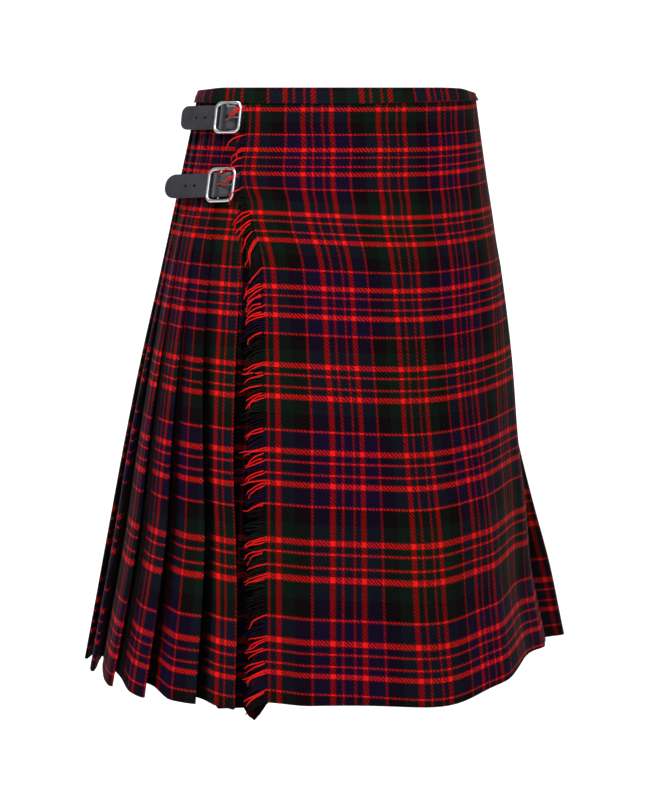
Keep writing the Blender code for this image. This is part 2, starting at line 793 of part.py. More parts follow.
def main():
    for item in list(bpy.data.objects):
        bpy.data.objects.remove(item)
    kilt = collection("scottish_kilt")
    cutters = collection("cutters")
    wool = material("tartan_wool", (0.10, 0.02, 0.02), 0.95)
    wool_over = material("tartan_wool_over", (0.12, 0.02, 0.02), 0.95)
    wool_under = material("tartan_wool_under", (0.06, 0.02, 0.03), 0.95)
    wool_right = material("tartan_wool_right", (0.09, 0.02, 0.03), 0.95)
    wool_band = material("tartan_wool_band", (0.05, 0.03, 0.02), 0.95)
    yarn = material("loose_yarn", (0.30, 0.02, 0.02), 0.95)

    centre_back = 11
    left_paths = []
    right_paths = []
    for drop in PLEAT_DROPS:
        join = seam_in_fold(centre_back, drop)
        left = pleat_path(0, centre_back, drop)
        left_paths.append([pleat_start(drop)] + left + [join])
        right = pleat_path(centre_back, PLEAT_COUNT, drop)[3:]
        right = shorten_start([join] + right, SEAM)
        right_paths.append(right + [seam_in_fold(PLEAT_COUNT, drop)])
    cloth_sheet("pleats_left", left_paths, PLEAT_DROPS, kilt, wool)
    cloth_sheet("pleats_right", right_paths, PLEAT_DROPS, kilt, wool_right)
    over_paths = [over_apron_path(drop) for drop in APRON_DROPS]
    cloth_sheet("over_apron", over_paths, APRON_DROPS, kilt, wool_over)
    under_paths = [under_apron_path(drop) for drop in PLEAT_DROPS]
    cloth_sheet("under_apron", under_paths, PLEAT_DROPS, kilt, wool_under)
    waistband(kilt, wool_band)
    fringe(kilt, yarn)

    for row in STRAP_ROWS:
        strap = named(STRAP_COLUMNS, row)
        frame = strap_frame(strap)
        name = strap["name"]
        hide = material(name + "_leather", (0.02, 0.02, 0.022), 0.6)
        tab_hide = material(name + "_tab_leather", (0.02, 0.02, 0.022), 0.7)
        chrome = material(name + "_chrome", (0.8, 0.8, 0.82), 0.15, 1.0)
        pin = material(name + "_prong_chrome", (0.8, 0.8, 0.82), 0.2, 1.0)
        strap_leather(strap, frame, kilt, cutters, hide)
        tab_leather(strap, frame, kilt, cutters, tab_hide)
        made, bar = buckle(strap, frame, kilt, chrome)
        kilt.objects.unlink(bar)
        cutters.objects.link(bar)
        bar.hide_render = True
        prong(strap, frame, kilt, pin)


main()
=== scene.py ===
"""Scottish kilt: woven tartan shells, loose fringe, leather straps and chrome buckles.

Metres, +Z up. The origin is the middle of the waist at the height of the upper strap, -Y is the
apron side and +X the wearer's left. Drop is the distance below the top edge of the cloth. Angles
run from the middle of the front toward +X, and the cloth travels toward falling angles: under
apron, pleats round the back, over apron, fringe.
"""
import json
import math
from functools import cache

import bmesh
import bpy
from mathutils import Matrix, Vector, noise

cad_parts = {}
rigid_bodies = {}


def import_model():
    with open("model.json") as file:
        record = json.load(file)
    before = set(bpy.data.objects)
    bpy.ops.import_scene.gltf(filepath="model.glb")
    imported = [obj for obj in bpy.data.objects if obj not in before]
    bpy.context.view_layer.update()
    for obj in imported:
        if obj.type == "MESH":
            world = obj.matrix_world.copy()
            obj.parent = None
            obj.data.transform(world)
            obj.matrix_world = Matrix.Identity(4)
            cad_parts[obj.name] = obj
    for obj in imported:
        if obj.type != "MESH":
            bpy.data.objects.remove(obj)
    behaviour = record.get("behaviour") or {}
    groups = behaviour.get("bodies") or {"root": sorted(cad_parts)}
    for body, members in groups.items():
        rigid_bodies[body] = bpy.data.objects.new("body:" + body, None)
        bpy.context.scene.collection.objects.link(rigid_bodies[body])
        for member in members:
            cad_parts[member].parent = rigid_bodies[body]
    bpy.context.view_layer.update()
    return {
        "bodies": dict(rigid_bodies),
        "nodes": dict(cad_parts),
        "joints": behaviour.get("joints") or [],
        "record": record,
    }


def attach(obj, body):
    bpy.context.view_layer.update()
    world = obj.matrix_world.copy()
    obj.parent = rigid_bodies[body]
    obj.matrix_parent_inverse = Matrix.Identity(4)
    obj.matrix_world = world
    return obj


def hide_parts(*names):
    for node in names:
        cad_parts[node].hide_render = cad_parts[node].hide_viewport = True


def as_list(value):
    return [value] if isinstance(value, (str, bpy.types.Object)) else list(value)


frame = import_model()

TOP_EDGE = 0.030
CLOTH_LENGTH = 0.610
TRIM = 0.0024
CLOTH_WALL = 0.0011
# Where the woven sheets start, just under the rolled top of the waistband.
SHEET_TOP = TRIM + 0.0035
SEAM = 0.0003
PLEAT_COUNT = 24
CENTRE_BACK = 11
HIP_DROP = 0.19
FELL_DROP = 0.185

BAND_DROP = 0.015
BAND_WALL = 0.0010
BAND_CLEAR = 0.0008
BAND_ROLL = SEAM + BAND_WALL + 0.0008
# Thread counts where the strip for the waistband was cut.
BAND_WARP = 24.1
BAND_WEFT = 24.0
STITCH_PITCH = 0.0048
STITCH_RADIUS = 0.00026
STITCH_STRETCH = 3.6

STRAND_COUNT = 248
STRAND_LENGTH = 0.0215
STRAND_SEGMENTS = 8
STRAND_WIDTHS = (1.15, 0.95, 0.92, 0.96, 0.96, 0.95, 0.84, 0.60)
FRINGE_START = 0.016
HEADING_WIDTH = 0.0012

STRAP_WIDTH = 0.0240
STRAP_WALL = 0.0020
TAB_WALL = 0.0012
BAR_RADIUS = 0.0011
FRAME_RADIUS = 0.00155
PRONG_RADIUS = 0.0008
FRAME_LIFT = 0.0058
HOLE_RADIUS = 0.0014
HOLE_PITCH = 0.0122
# Hole that the prong comes through, and the slot for it in the tab.
PRONG_HOLE = -0.0046
PRONG_HOLE_RADIUS = 0.0019
PRONG_SLOT = (0.0080, 0.0150, 0.0034)
FRAME_CORNER = 0.0062
STRAP_COLOUR = (0.034, 0.034, 0.041, 1.0)
# The tab's leather is darker than the strap's: painted shade for where it lies inside the buckle.
TAB_COLOUR = (0.020, 0.021, 0.025, 1.0)

# Cells of the sheets: across the aprons, across a leather, between folds and round a fold.
APRON_STEPS = 150
UNDER_STEPS = 60
BAND_STEPS = 60
ACROSS_STRAP = 8
STRIP_STEPS = (4, 5, 5)
LEG_STEPS = 3
LEAD_COLUMNS = 10
HALF_TURN = (0, 45, 90, 135, 180)

# Outermost line of the pleats, as distances from the axis to each side.
BODY_COLUMNS = ("drop", "left", "right", "front", "back", "squareness")
BODY_ROWS = (
    (0.00, 0.1460, 0.1420, 0.1130, 0.1130, 2.00),
    (0.06, 0.1590, 0.1510, 0.1225, 0.1250, 2.00),
    (0.12, 0.1725, 0.1605, 0.1350, 0.1410, 2.00),
    (0.19, 0.1890, 0.1735, 0.1490, 0.1590, 2.05),
    (0.28, 0.2105, 0.1855, 0.1650, 0.1750, 2.15),
    (0.37, 0.2290, 0.2010, 0.1790, 0.1880, 2.30),
    (0.45, 0.2440, 0.2210, 0.1900, 0.1995, 2.40),
    (0.53, 0.2590, 0.2420, 0.2010, 0.2115, 2.50),
    (0.61, 0.2750, 0.2590, 0.2120, 0.2250, 2.50),
)

# Line of the over apron. Centre is how far behind the axis its curve is centred.
APRON_COLUMNS = ("drop", "right", "front", "centre", "across", "hip_angle", "edge")
APRON_ROWS = (
    (0.00, 0.1425, 0.1160, 0.000, -0.0020, 100.0, -0.0885),
    (0.06, 0.1515, 0.1255, 0.001, -0.0038, 99.0, -0.0885),
    (0.10, 0.1580, 0.1330, 0.002, -0.0050, 98.0, -0.0880),
    (0.13, 0.1632, 0.1390, 0.003, -0.0060, 97.5, -0.0842),
    (0.16, 0.1680, 0.1440, 0.004, -0.0070, 97.0, -0.0770),
    (0.19, 0.1735, 0.1490, 0.005, -0.0078, 96.5, -0.0740),
    (0.28, 0.1862, 0.1630, 0.010, -0.0080, 95.0, -0.0722),
    (0.37, 0.1965, 0.1740, 0.016, -0.0060, 93.5, -0.0718),
    (0.45, 0.2080, 0.1820, 0.022, -0.0030, 92.0, -0.0716),
    (0.53, 0.2175, 0.1890, 0.027, -0.0010, 90.0, -0.0715),
    (0.61, 0.2355, 0.1960, 0.030, 0.0000, 87.5, -0.0715),
)

# How far the free edge is drawn sideways by the straps.
EDGE_ROWS = ((0.0, -0.0020), (0.035, -0.0027), (0.055, -0.0042), (0.080, -0.0080), (0.097, -0.0078),
             (0.114, -0.0042), (0.128, 0.0))

# Soft hanging folds of the over apron: angle, spread in degrees, height at the hem.
APRON_FOLDS = (
    (27.0, 11.0, 0.0130),
    (49.0, 5.0, 0.0035),
    (69.0, 13.0, -0.0140),
    (79.0, 3.5, 0.0040),
    (4.0, 7.0, -0.0015),
    (-9.0, 4.0, 0.0025),
)
FOLDS_START = 0.22
# Distance behind the axis that angles over the hem and the hip are taken from.
HEM_CENTRE = 0.03

# Lift and sag of the over apron's hem: angle, spread in degrees, height.
APRON_HEM = ((64.0, 17.0, 0.0066), (27.0, 15.0, -0.0040))
# The inner front sags at the corner of the free edge: how far past it, how wide and how far.
SAG_PAST = 0.0145
SAG_SPREAD = 0.0108
SAG_DEPTH = 0.0215

# Small creases of the over apron: angle, lean per metre of drop, spread, height, first and last drop.
APRON_CREASES = (
    (-15.0, 20.0, 2.2, 0.0010, 0.10, 0.34),
    (16.0, -12.0, 3.0, -0.0011, 0.30, 0.61),
    (37.0, 10.0, 2.6, 0.0010, 0.24, 0.50),
    (57.0, 14.0, 2.4, -0.0012, 0.05, 0.33),
    (84.0, -8.0, 2.2, 0.0012, 0.12, 0.45),
    (8.0, 30.0, 2.0, 0.0007, 0.03, 0.20),
)

# Angles of the first pleat folds at four levels, with how far each swings out.
PLEAT_ROWS = (
    (-49.6, -34.8, -27.0, -24.6, 0.000),
    (-58.8, -47.6, -36.2, -34.4, -0.004),
    (-67.5, -57.2, -47.2, -47.2, 0.003),
    (-76.2, -66.6, -57.8, -58.0, 0.002),
    (-84.8, -75.2, -70.0, -69.6, 0.000),
    (-93.4, -83.4, -80.0, -79.0, 0.002),
)
PLEAT_LEVELS = (0.0, 0.19, 0.42, 0.61)
# How far the hem of the first pleats lifts where each curls back under the next, then of the rest.
CURLS = (0.0030, 0.0098, 0.0078)
CURL = 0.0075

# How deep the pleats are folded: overlap along the wrap, depth inward and bend radius.
DEPTH_COLUMNS = ("drop", "overlap", "depth", "bend")
DEPTH_ROWS = (
    (0.00, 0.0045, 0.0030, 0.00070),
    (0.18, 0.0048, 0.0032, 0.00070),
    (0.23, 0.0080, 0.0058, 0.00080),
    (0.29, 0.0120, 0.0090, 0.00090),
    (0.36, 0.0150, 0.0120, 0.00100),
    (0.44, 0.0180, 0.0145, 0.00110),
    (0.52, 0.0200, 0.0165, 0.00120),
    (0.61, 0.0220, 0.0180, 0.00130),
)

# Under apron: inset from the over apron, and the angle of its free edge.
UNDER_COLUMNS = ("drop", "inset", "edge_angle")
UNDER_ROWS = (
    (0.00, 0.0050, 74.0),
    (0.19, 0.0075, 72.0),
    (0.36, 0.0110, 66.0),
    (0.61, 0.0150, 60.0),
)

# Straps: height of the middle, angle of the buckle, frame size, reach past it, roundness of the tip,
# how much they fall per unit of length, the first hole, the number of holes, and the frame's reach
# toward the apron.
STRAP_COLUMNS = ("name", "height", "angle", "wide", "tall", "reach", "round", "slope", "first_hole",
                 "holes", "back")
STRAP_ROWS = (
    ("upper", 0.0008, -52.2, 0.0285, 0.0315, 0.0640, 0.0092, 0.020, 0.0184, 3, 0.0180),
    ("lower", -0.0660, -49.2, 0.0300, 0.0345, 0.0765, 0.0132, 0.060, 0.0357, 2, 0.0184),
)

# Half of the repeat, in threads from the green pivot to the blue one. The other half mirrors it.
HALF_REPEAT = 102
SETT = (
    ("green", 6), ("red", 2), ("green", 8), ("red", 6), ("green", 17), ("black", 19),
    ("red", 2), ("blue", 20), ("red", 6), ("blue", 8), ("red", 2), ("blue", 6),
)
YARN_COLOURS = {
    "green": (0.0040, 0.0092, 0.0060),
    "red": (0.81, 0.0115, 0.0110),
    "black": (0.0045, 0.0024, 0.0030),
    "blue": (0.0068, 0.0033, 0.0162),
}

# Thread counts down the cloth at drops, and along the over apron at distances from its free edge.
WEFT_ROWS = (
    (-0.052, -102.0), (0.0093, 0.0), (0.0725, 102.0), (0.1395, 204.0), (0.2122, 306.0),
    (0.2902, 408.0), (0.3756, 510.0), (0.4670, 612.0), (0.5671, 714.0), (0.6470, 816.0),
)
WARP_COLUMNS = ("drop", "first", "second", "third", "fourth", "fifth", "sixth")
WARP_ROWS = (
    (0.036, -0.0025, 0.0733, 0.1484, 0.2152, 0.2812, 0.3482),
    (0.085, -0.0030, 0.0805, 0.1560, 0.2228, 0.2890, 0.3560),
    (0.112, 0.0000, 0.0771, 0.1531, 0.2199, 0.2865, 0.3535),
    (0.128, -0.0070, 0.0722, 0.1466, 0.2137, 0.2805, 0.3478),
    (0.175, -0.0050, 0.0740, 0.1438, 0.2115, 0.2790, 0.3470),
    (0.263, -0.0045, 0.0768, 0.1489, 0.2136, 0.2810, 0.3500),
    (0.331, -0.0043, 0.0820, 0.1522, 0.2210, 0.2900, 0.3600),
    (0.438, -0.0045, 0.0832, 0.1624, 0.2386, 0.3100, 0.3850),
    (0.514, -0.0045, 0.0834, 0.1669, 0.2450, 0.3200, 0.3950),
    (0.597, -0.0045, 0.0837, 0.1738, 0.2520, 0.3300, 0.4050),
)
# Thread counts at the first pleat folds, at the hip and at the hem.
PLEAT_THREADS = ((-7.3, -7.3), (42.0, 24.9), (77.1, 58.6), (110.6, 94.7), (142.5, 129.3), (174.4, 160.4))
THREADS_A_PLEAT = 35.8
THREADS_A_METRE = 1254.0
# Yarns of the twill, which stay evenly spaced where the stripes are drawn in.
YARNS_A_METRE = 1065.0
# How far the stripes lean over the sewn part of the pleats, in threads.
LEAN_ROWS = ((0.0, 29.6), (0.015, 26.5), (0.07, 21.0), (0.12, 10.1), (0.153, 2.3), (0.185, 0.0))
# How far the weft drifts down: over the apron by distance from its free edge, on the pleats, and at
# the hip by drop, where the cloth is drawn over it.
APRON_SHIFT_ROWS = ((0.0, 0.0048), (0.03, 0.0043), (0.135, 0.0), (0.22, -0.0010), (0.30, -0.0030),
                    (0.45, -0.0060))
PLEAT_SHIFT = 0.0045
CLIMB_ROWS = ((0.0, 0.0042), (0.05, 0.0055), (0.10, 0.0092), (0.24, 0.0094), (0.33, 0.0048),
              (0.40, 0.0036), (0.47, 0.0))

# Lamps: place, aim, size, power and colour.
LAMPS = (
    ("key", (-0.36, -1.62, 1.44), (0.03, 0.0, -0.06), 0.7, 40.5, (1.0, 1.0, 1.0)),
    ("fill", (0.75, -2.5, 0.45), (0.0, 0.0, -0.15), 2.2, 16.0, (0.94, 0.86, 1.0)),
    ("back", (0.0, 1.3, 3.0), (0.0, 3.2, -0.6), 2.6, 170.0, (1.0, 1.0, 1.0)),
)
ROOM_LIGHT = 0.24
FLOOR_LEVEL = -1.2
FLOOR_NEAR = -9.0
FLOOR_FAR = 2.2
FLOOR_CURVE = 1.6
FLOOR_WIDTH = 20.0
CAMERA_PLACE = (-0.016, -1.9, 0.030)
CAMERA_TILT = 80.058
CAMERA_LENS = 80.1


def named(columns, row):
    return dict(zip(columns, row))


def smooth(rows, drop, place=1):
    """Value in one place of the rows at a drop, on a curve through them."""
    drops = [row[0] for row in rows]
    values = [row[place] for row in rows]
    last = len(rows) - 1
    if drop <= drops[0]:
        return values[0]
    if drop >= drops[last]:
        return values[last]
    step = 0
    while drops[step + 1] < drop:
        step += 1
    slopes = []
    for spot in (step, step + 1):
        low = max(spot - 1, 0)
        high = min(spot + 1, last)
        slopes.append((values[high] - values[low]) / (drops[high] - drops[low]))
    span = drops[step + 1] - drops[step]
    t = (drop - drops[step]) / span
    rise = values[step + 1] - values[step]
    a = 3 * rise - span * (2 * slopes[0] + slopes[1])
    b = -2 * rise + span * (slopes[0] + slopes[1])
    return values[step] + span * slopes[0] * t + a * t * t + b * t * t * t


@cache
def body(key, drop):
    return smooth(BODY_ROWS, drop, BODY_COLUMNS.index(key))


@cache
def apron(key, drop):
    return smooth(APRON_ROWS, drop, APRON_COLUMNS.index(key))


@cache
def depth(key, drop):
    return smooth(DEPTH_ROWS, drop, DEPTH_COLUMNS.index(key))


def under(key, drop):
    return smooth(UNDER_ROWS, drop, UNDER_COLUMNS.index(key))


def ease(t):
    t = min(max(t, 0.0), 1.0)
    return t * t * (3 - 2 * t)


def hump(place, middle, spread):
    """1 at the middle, falling away smoothly on both sides."""
    return math.exp(-((place - middle) / spread) ** 2)


def grown(drop, start):
    """How far the cloth hangs free below a drop, 0 there and 1 at the hem."""
    return ease((drop - start) / (CLOTH_LENGTH - start))


def wander(index, drop, scale):
    """Slow unevenness along a fold, between -1 and 1."""
    return noise.noise(Vector((index * 7.31 + 3.7, drop * scale, 0.5)))


def lengths_of(line):
    """Distance of each point of a line from its first one."""
    lengths = [0.0]
    for low, high in zip(line[:-1], line[1:]):
        lengths.append(lengths[-1] + (high - low).length)
    return lengths


# ---------------------------------------------------------------- lines of the garment in plan

def body_line(angle, drop):
    """Plan point of the outermost pleat line."""
    half_wide = (body("left", drop) + body("right", drop)) / 2
    half_deep = (body("front", drop) + body("back", drop)) / 2
    power = body("squareness", drop)
    side = math.sin(math.radians(angle))
    fore = math.cos(math.radians(angle))
    reach = (abs(side / half_wide) ** power + abs(fore / half_deep) ** power) ** (-1 / power)
    x = (body("right", drop) - body("left", drop)) / 2 + reach * side
    y = (body("back", drop) - body("front", drop)) / 2 - reach * fore
    return Vector((x, y))


def body_angle(point, drop):
    """Angle of a plan point about the middle of the pleat line."""
    side = point.x - (body("right", drop) - body("left", drop)) / 2
    fore = (body("back", drop) - body("front", drop)) / 2 - point.y
    return math.degrees(math.atan2(side, fore))


def fold_swell(angle, drop):
    """How far the over apron's folds and creases stand out from its curve."""
    swell = 0.0
    for middle, spread, height in APRON_FOLDS:
        swell += height * hump(angle, middle, spread)
    swell *= grown(drop, FOLDS_START)
    for middle, lean, spread, height, first, last in APRON_CREASES:
        if first < drop < last:
            share = (drop - first) / (last - first)
            off = (angle - middle - lean * (drop - first)) / spread
            swell += height * math.exp(-off * off) * math.sin(math.pi * share) ** 1.5
    return swell


def apron_line(angle, drop):
    """Plan point of the over apron."""
    middle = Vector((apron("across", drop), apron("centre", drop)))
    half_wide = apron("right", drop) - middle.x
    half_deep = apron("front", drop) + middle.y
    side = math.sin(math.radians(angle))
    fore = math.cos(math.radians(angle))
    reach = 1 / math.hypot(side / half_wide, fore / half_deep)
    reach += fold_swell(angle, drop)
    return middle + Vector((reach * side, -reach * fore))


def frame_on(line, angle, drop):
    """Point on a line, the direction the wrap travels and the direction into the body."""
    point = line(angle, drop)
    travel = (line(angle - 0.2, drop) - line(angle + 0.2, drop)).normalized()
    inward = Vector((travel.y, -travel.x))
    return point, travel, inward


def at(frame, along, inside):
    point, travel, inward = frame
    return point + travel * along + inward * inside


@cache
def edge_angle(drop):
    """Angle of the over apron's free edge."""
    middle_x = apron("across", drop)
    middle_y = apron("centre", drop)
    side = apron("edge", drop) + smooth(EDGE_ROWS, drop) - middle_x
    half_wide = apron("right", drop) - middle_x
    half_deep = apron("front", drop) + middle_y
    fore = half_deep * math.sqrt(1 - (side / half_wide) ** 2)
    return math.degrees(math.atan2(side, fore))


@cache
def pleat_angle(index, drop):
    """Angle of one pleat fold: the first few are placed singly, the rest evenly."""
    rows = []
    shown = len(PLEAT_ROWS) - 1
    for level, height in enumerate(PLEAT_LEVELS):
        angle = PLEAT_ROWS[min(index, shown)][level]
        if index > shown:
            end = body_angle(apron_line(apron("hip_angle", height), height), height) - 360.0
            angle += (end - angle) * (index - shown) / (PLEAT_COUNT - shown - 0.25)
        rows.append((height, angle))
    return smooth(rows, drop)


@cache
def pleat_fold(index, drop):
    """Frame at a pleat's outer fold. The last fold belongs to the over apron."""
    if index == PLEAT_COUNT:
        return frame_on(apron_line, apron("hip_angle", drop), drop)
    grow = grown(drop, HIP_DROP)
    angle = pleat_angle(index, drop) + 0.45 * grow * wander(index, drop, 7.0)
    point, travel, inward = frame_on(body_line, angle, drop)
    swing = PLEAT_ROWS[index][4] if index < len(PLEAT_ROWS) else 0.0015 * math.sin(2.1 * index)
    swing += 0.0010 * wander(index + 40, drop, 9.0)
    return point - inward * swing * grow, travel, inward


@cache
def pleat_width(index, drop):
    """Distance between a pleat's fold and the next."""
    return (pleat_fold(index + 1, drop)[0] - pleat_fold(index, drop)[0]).length


def tuck(index, drop):
    """Overlap and depth of one pleat. The last one before the over apron is tucked less."""
    share = 1.0
    if index == PLEAT_COUNT - 1:
        share = 1.0 - 0.58 * ease((drop - HIP_DROP) / 0.25)
    return depth("overlap", drop) * share, depth("depth", drop) * share


def half_turn(spot, along, inside, side, bend):
    """Rounded fold about a point beside a frame, in travel order."""
    points = []
    for turn in HALF_TURN:
        swing = math.radians(turn)
        points.append(at(spot, along + side * bend * math.sin(swing), inside + bend * math.cos(swing)))
    return points


def inner_fold(index, drop):
    """Hidden fold beneath an outer fold."""
    overlap, deep = tuck(index, drop)
    bend = depth("bend", drop)
    return half_turn(pleat_fold(index, drop), overlap - bend, deep - bend, 1, bend)


def outer_fold(index, drop):
    bend = depth("bend", drop)
    return half_turn(pleat_fold(index, drop), bend, bend, -1, bend)


def strip_marks(index, drop):
    """Two points across the visible strip between one fold and the next."""
    overlap, deep = tuck(index + 1, drop)
    here = pleat_fold(index, drop)
    after = pleat_fold(index + 1, drop)
    bend = depth("bend", drop)
    width = pleat_width(index, drop)
    least = 3.9 * bend
    sunk = max(deep * width / (width + overlap), least)
    points = []
    for share in (0.30, 0.78):
        point = at(here, bend, 0).lerp(at(after, 0, sunk), share)
        bow = 1.4 * share * (1 - share) * (sunk - least) + 0.0022 * share * (1 - share)
        points.append(point - here[2].lerp(after[2], share) * bow)
    if index == PLEAT_COUNT - 1:
        points[0] = points[0].lerp(at(here, 0.36 * width, 0.0008), ease((drop - HIP_DROP) / 0.15))
    return points


def curve_through(points, counts):
    """Smooth curve through points, with the given number of steps in each gap and no first point."""
    out = []
    for gap, count in enumerate(counts):
        a, b, c, d = points[gap:gap + 4]
        for step in range(1, count + 1):
            t = step / count
            out.append(0.5 * (2 * b + (c - a) * t + (2 * a - 5 * b + 4 * c - d) * t * t
                              + (3 * b - a - 3 * c + d) * t ** 3))
    return out


def strip_curve(index, drop):
    """Visible strip from the end of its outer fold to just before its inner fold."""
    start = outer_fold(index, drop)[-1]
    end = inner_fold(index + 1, drop)[0]
    first, second = strip_marks(index, drop)
    before = start - pleat_fold(index, drop)[1] * (first - start).length
    beyond = end + pleat_fold(index + 1, drop)[1] * (end - second).length
    return curve_through([before, start, first, second, end, beyond], STRIP_STEPS)[:-1]


def straight(start, end, steps):
    """Points between two ends, without them."""
    return [start.lerp(end, step / steps) for step in range(1, steps)]


def seam_in_fold(index, drop):
    """Middle of the hidden leg behind an outer fold, where two pieces are joined."""
    return inner_fold(index, drop)[-1].lerp(outer_fold(index, drop)[0], 0.5)


def past_seam(index, drop):
    """Start of the piece that lies beyond the join behind an outer fold, and the fold itself."""
    seam = seam_in_fold(index, drop)
    fold = outer_fold(index, drop)
    return seam + (fold[0] - seam).normalized() * SEAM, fold


def pleat_start(drop):
    """Where the under apron meets the first pleat, hidden behind its outer fold."""
    inside = depth("depth", drop) - 0.4 * depth("bend", drop) + 0.0110 * grown(drop, HIP_DROP)
    return at(pleat_fold(0, drop), -0.0030, inside)


# ---------------------------------------------------------------- threads, shadows and lift

@cache
def fold_threads(index, drop):
    """Thread count of the cloth at a pleat's outer fold."""
    shown = len(PLEAT_THREADS) - 1
    more = THREADS_A_PLEAT * max(index - shown, 0)
    hip, hem = (value + more for value in PLEAT_THREADS[min(index, shown)])
    count = hip + (hem - hip) * ease((drop - FELL_DROP) / (CLOTH_LENGTH - FELL_DROP))
    return count + smooth(LEAN_ROWS, drop)


@cache
def strip_rate(index, drop):
    """Threads per metre across a strip: squeezed where the pleats are sewn, true below."""
    if index >= PLEAT_COUNT:
        return THREADS_A_METRE
    sewn = (fold_threads(index + 1, FELL_DROP) - fold_threads(index, FELL_DROP)) / pleat_width(index, drop)
    return sewn + (THREADS_A_METRE - sewn) * ease((drop - FELL_DROP) / 0.06)


def weft(drop):
    """Thread count down the cloth."""
    return smooth(WEFT_ROWS, drop)


def warp_on_apron(length, drop):
    """Thread count at a distance from the over apron's free edge."""
    pivots = [smooth(WARP_ROWS, drop, place) for place in range(1, len(WARP_COLUMNS))]
    step = 0
    while step < len(pivots) - 2 and pivots[step + 1] < length:
        step += 1
    share = (length - pivots[step]) / (pivots[step + 1] - pivots[step])
    return HALF_REPEAT * (step + share)


def fold_shadow(index, drop, past):
    """How dark a pleat lies at a length past its outer fold: deep where it slips under the next."""
    # The last pleat, behind the over apron's hip fold, gets painted shade over its whole width.
    if index >= PLEAT_COUNT - 1:
        return 0.58 * ease((drop - HIP_DROP) / 0.15)
    opened = ease((drop - 0.17) / 0.14)
    if past < 0:
        return 0.86 * opened * ease((-past - 0.004) / 0.006)
    return 0.97 * opened * ease((past / pleat_width(index, drop) - 0.73) / 0.13)


def pleat_curl(index, drop, past):
    """Lift of the cloth at a length past the outer fold of its pleat."""
    share = 0.0
    before = index
    if past < 0:
        before -= 1
        if index < PLEAT_COUNT:
            share = (-past - 0.004) / 0.02
    elif index < PLEAT_COUNT - 1:
        share = (past / pleat_width(index, drop) - 0.50) / 0.45
    most = CURLS[max(before, 0)] if before < len(CURLS) else CURL + 0.003 * wander(before, 0.0, 1.0)
    return most * ease(share) * (drop / CLOTH_LENGTH) ** 5


# A run is the cloth at one drop, as places in travel order: plan point, thread count, yarn count, how
# open to the light it lies, and either the lift of a pleat or the distance from the free edge.

def pleat_run(first, last, drop, lead):
    """Run of pleats from its lead-in to the seam in its last fold."""
    points = list(lead)
    anchors = [first] * len(points)
    marks = {}
    for index in range(first, last):
        marks[index] = len(points) + len(HALF_TURN) // 2
        inner = inner_fold(index + 1, drop)
        ahead = outer_fold(index, drop) + strip_curve(index, drop) + inner[:3]
        back = inner[3:]
        if index + 1 < last:
            back += straight(inner[-1], outer_fold(index + 1, drop)[0], LEG_STEPS)
        points += ahead + back
        anchors += [index] * len(ahead) + [index + 1] * len(back)
    points.append(seam_in_fold(last, drop))
    anchors.append(last)
    lengths = lengths_of(points)
    to_fold = (outer_fold(last, drop)[0] - points[-1]).length + depth("bend", drop) * math.pi / 2
    run = []
    for point, length, anchor in zip(points, lengths, anchors):
        past = length - (lengths[marks[anchor]] if anchor in marks else lengths[-1] + to_fold)
        threads = fold_threads(anchor, drop) + strip_rate(anchor, drop) * past
        yarns = 60.0 * anchor + YARNS_A_METRE * past
        shade = 1.0 - fold_shadow(anchor, drop, past)
        run.append((point, threads, yarns, shade, pleat_curl(anchor, drop, past)))
    return run


def left_pleats_run(drop):
    inner = inner_fold(0, drop)
    leg = straight(inner[-1], outer_fold(0, drop)[0], LEG_STEPS)
    return pleat_run(0, CENTRE_BACK, drop, [pleat_start(drop)] + inner + leg)


def right_pleats_run(drop):
    seam, fold = past_seam(CENTRE_BACK, drop)
    return pleat_run(CENTRE_BACK, PLEAT_COUNT, drop, [seam] + straight(seam, fold[0], 2))


def over_apron_run(drop):
    """From the seam in the hip fold round the front to the free edge."""
    seam, fold = past_seam(PLEAT_COUNT, drop)
    points = [seam] + straight(seam, fold[0], 2) + fold
    start = apron("hip_angle", drop)
    end = edge_angle(drop)
    first = 0.009
    for step in range(APRON_STEPS + 1):
        share = first + (1 - first) * step / APRON_STEPS
        points.append(apron_line(start + (end - start) * share, drop))
    lengths = lengths_of(points[::-1])[::-1]
    return [(point, -warp_on_apron(length, drop), -YARNS_A_METRE * length, 1.0, length)
            for point, length in zip(points, lengths)]


def under_apron_run(drop):
    """From its free edge inside the far hip to the seam beneath the first pleat, and 5 mm past it."""
    target = pleat_start(drop)
    start = under("edge_angle", drop)
    end = math.degrees(math.atan2(target.x - apron("across", drop), apron("centre", drop) - target.y))
    last = at(frame_on(apron_line, end, drop), 0, under("inset", drop))
    points = []
    for step in range(UNDER_STEPS + 1):
        angle = start + (end - start) * step / UNDER_STEPS
        point = at(frame_on(apron_line, angle, drop), 0, under("inset", drop))
        blend = ease((end + 10.0 - angle) / 10.0)
        points.append(point + (target - last) * blend)
    ahead = (points[-1] - points[-2]).normalized()
    inward = frame_on(apron_line, end, drop)[2]
    points[-1] += inward * 0.0006 - ahead * 0.0012
    points.append(points[-1] + ahead * 0.0024 + inward * 0.0010)
    points.append(points[-1] + ahead * 0.0030 + inward * 0.0002)
    lengths = lengths_of(points)
    seam = fold_threads(0, drop) - THREADS_A_METRE * 2.2 * depth("overlap", drop)
    run = []
    for point, length in zip(points, lengths):
        left = lengths[-1] - length
        # Painted shade near the seam, where the inner front shows in the gap beside the first pleat.
        shade = 0.16 + 0.84 * ease((left - 0.040) / 0.025)
        run.append((point, seam - THREADS_A_METRE * left, -YARNS_A_METRE * left, shade, left))
    return run


# ---------------------------------------------------------------- meshes

def settled(piece):
    """Apply a piece's modifiers to its mesh."""
    graph = bpy.context.evaluated_depsgraph_get()
    mesh = bpy.data.meshes.new_from_object(piece.evaluated_get(graph))
    piece.modifiers.clear()
    old = piece.data
    mesh.name = piece.name
    piece.data = mesh
    bpy.data.meshes.remove(old)
    return piece


